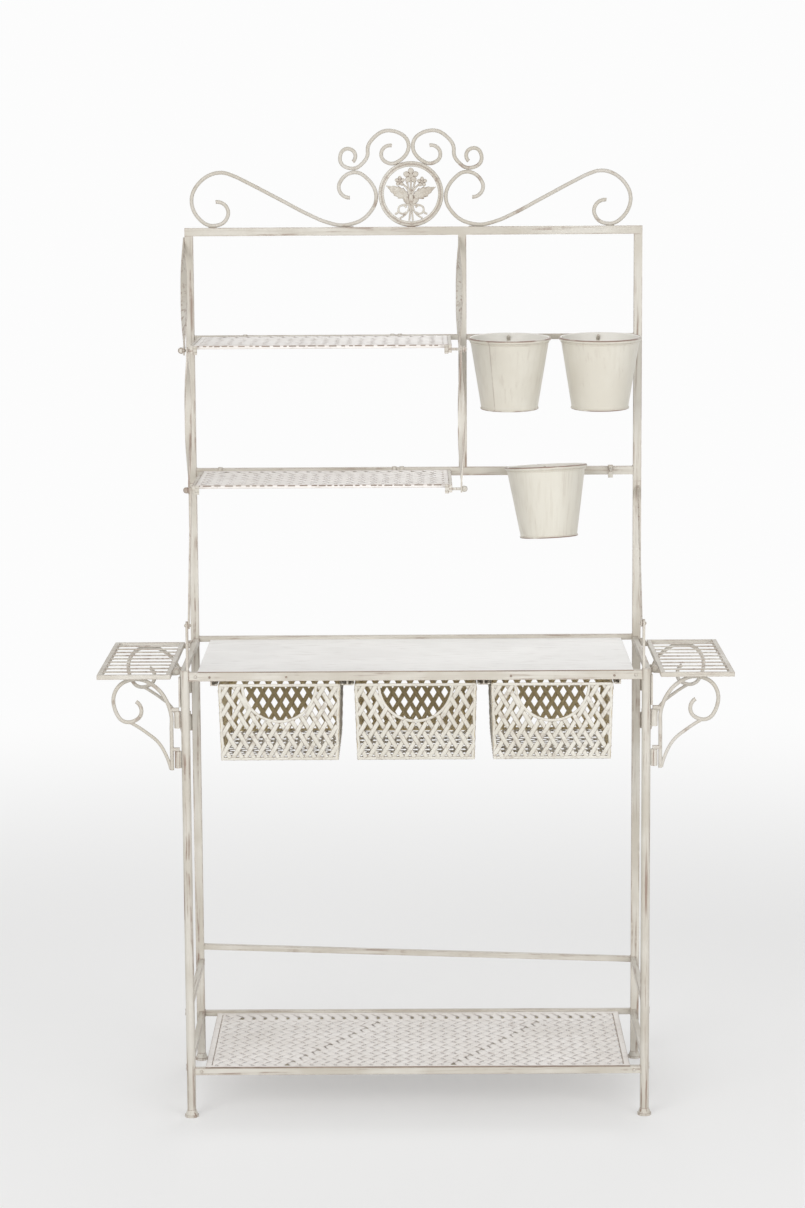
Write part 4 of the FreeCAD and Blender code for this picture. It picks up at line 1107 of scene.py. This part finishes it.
# %% Weld tree
bead_tree, source, result = start_tree("weld_beads", (
    ("Bead Size", "Float"), ("Unevenness", "Float"), ("Roundness", "Int"), ("Seed", "Int"),
    ("Material", "Material")))
tree = bead_tree
lump = new_node(tree, "GeometryNodeMeshIcoSphere", Radius=1.0, Subdivisions=source.outputs["Roundness"])
size = new_node(tree, "FunctionNodeRandomValue", data_type="FLOAT_VECTOR")
for slot, sign in ((size.inputs[0], "SUBTRACT"), (size.inputs[1], "ADD")):
    feed(tree, slot, maths(tree, sign, 1.0, source.outputs["Unevenness"]))
turn = new_node(tree, "FunctionNodeRandomValue", data_type="FLOAT_VECTOR")
turn.inputs[1].default_value = (tau, tau, tau)
for node in (size, turn):
    feed(tree, node.inputs["Seed"], source.outputs["Seed"])
scaled = new_node(tree, "ShaderNodeVectorMath", operation="SCALE", Vector=size.outputs[0],
                  Scale=source.outputs["Bead Size"])
beads = new_node(tree, "GeometryNodeInstanceOnPoints", Instance=lump.outputs[0], Scale=scaled.outputs[0],
                 Rotation=turn.outputs[0])
chain(tree, source, new_node(tree, "GeometryNodeMeshToPoints"), beads)
end_tree(tree, beads, source, result)
print("weld tree:", len(tree.nodes), "nodes")


# %% Weld places
def lumps(name, places, **values):
    """A lump from the weld tree at each place."""
    mesh = bpy.data.meshes.new(name)
    mesh.from_pydata(places, [], [])
    return grow(bead_tree, mesh, name, **values)


def bar_end(name, axis, side, keep=lambda v: True):
    """Middle and half sizes of the corners at one end of a bar."""
    corners = [v.co for v in nodes[name].data.vertices if keep(v.co)]
    far = max(side * c[axis] for c in corners)
    corners = [c for c in corners if side * c[axis] > far - 3 * mm]
    low = Vector([min(c[k] for c in corners) for k in range(3)])
    high = Vector([max(c[k] for c in corners) for k in range(3)])
    return (low + high) / 2, (high - low) / 2


def bead_ring(middle, half, axis, pitch=2.4 * mm):
    """Points round a bar's square end."""
    a, b = [k for k in range(3) if k != axis]
    corners = [(-1, -1), (1, -1), (1, 1), (-1, 1), (-1, -1)]
    made = []
    for (p, q), (r, t) in zip(corners, corners[1:]):
        count = max(2, int(2 * max(half[a] * abs(p - r) / 2, half[b] * abs(q - t) / 2) / pitch))
        for i in range(count):
            spot = middle.copy()
            spot[a] += half[a] * (p + (r - p) * i / count)
            spot[b] += half[b] * (q + (t - q) * i / count)
            made.append(spot)
    return made


print("beads sit round the bars' ends")

# %% Make the welds
welds = []
for bar in ("upper_cross_rail", "lower_cross_rail", "rear_table_rail", "rear_guard_rail", "rear_lower_rail",
            "table_front_rail", "lower_front_rail"):
    for side in (-1, 1):
        welds += bead_ring(*bar_end(bar, 0, side), 0)
for bar in ("table_side_rails", "guard_side_rails", "lower_side_rails"):
    for flank in (-1, 1):
        for side in (-1, 1):
            welds += bead_ring(*bar_end(bar, 1, side, lambda c: flank * c.x > 0), 1)
rail_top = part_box("top_rail")[1].z
for x in (-367, -114, 0, 114, 367):
    foot = Vector((ring_middle.x + x * mm, ring_middle.y, rail_top + 0.4 * mm))
    welds += [foot + Vector((i * 2.2 * mm, d * 2.5 * mm, 0)) for i in range(-3, 4) for d in (-1, 1)]
weld_beads = lumps("weld_beads", welds, Bead_Size=1.25 * mm, Unevenness=0.35, Roundness=1, Seed=11,
                   Material=upright)
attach(weld_beads, "frame")
print(len(welds), "beads,", len(weld_beads.data.polygons), "faces")

# %% [markdown]
# ## Clips and rivets
# Small sheet clips sit over the two cross rails, one above each hook and a few more where a pot can
# hang. A clip could be a bent plate. It is one strip that runs up the front of the rail, over it and
# down behind, so it comes from the same tree. The front table rail has four rivets with rubbed heads.

# %% Clips and rivets
def over_rail(rail, x, drop=0.35):
    """A run up the front of a rail, over the top and down behind."""
    low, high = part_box(rail)
    gap, deep = 0.9 * mm, (high.z - low.z) * drop
    front, back, top = low.y - gap, high.y + gap, high.z + gap
    behind = -forward
    path = [((front, high.z - deep), forward), ((front, high.z - 1.5 * mm), forward),
            ((front + gap, top - 0.3 * mm), (forward + up).normalized()), ((low.y + 2.5 * mm, top), up),
            ((high.y - 2.5 * mm, top), up), ((back - gap, top - 0.3 * mm), (behind + up).normalized()),
            ((back, high.z - 1.5 * mm), behind), ((back, high.z - deep), behind)]
    return [(Vector((x * mm, y, z)), facing, 0.0, 1.0) for (y, z), facing in path]


clips = [over_rail("upper_cross_rail", x) for x in (-313, -40, -26, 175, 341)]
clips += [over_rail("lower_cross_rail", x) for x in (-363, -38, -24, 242, 366)]
rail_clips = strips("rail_clips", clips, 8.5 * mm, 1.6 * mm, upright)
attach(rail_clips, "frame")
rail_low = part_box("table_front_rail")[0]
rivets = [(x * mm, rail_low.y - 0.2 * mm, rail_low.z + 7 * mm) for x in (-365, -229, 169, 352)]
rail_rivets = lumps("rail_rivets", rivets, Bead_Size=2.1 * mm, Unevenness=0.08, Roundness=3, Seed=3,
                    Material=rubbed_edge)
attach(rail_rivets, "frame")
print(len(clips), "clips,", len(rivets), "rivets")

# %% [markdown]
# ## Rail ends
# The top rail is a square tube, and a small plate closes each of its ends. A plate could be a flat box.
# A short wide strip from the same tree sits just inside the end and takes the bars' own paint.

# %% Rail ends
rail_low, rail_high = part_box("top_rail")
rail_middle = (rail_low + rail_high) / 2
tube_size = rail_high.z - rail_low.z
plate_inset, wall_share = 0.6 * mm, 0.9
plates = []
for side, x in ((-1, rail_low.x + plate_inset), (1, rail_high.x - plate_inset)):
    reach = wall_share * tube_size / 2
    heights = [rail_middle.z + reach * (i / 2 - 1) for i in range(5)]
    plates.append(plain_run([Vector((x, rail_middle.y, z)) for z in heights], to_right * side))
rail_ends = strips("rail_end_plates", plates, wall_share * tube_size, 0.9 * mm, upright)
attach(rail_ends, "frame")
print(len(plates), "end plates,", round(tube_size / mm, 1), "mm tube")
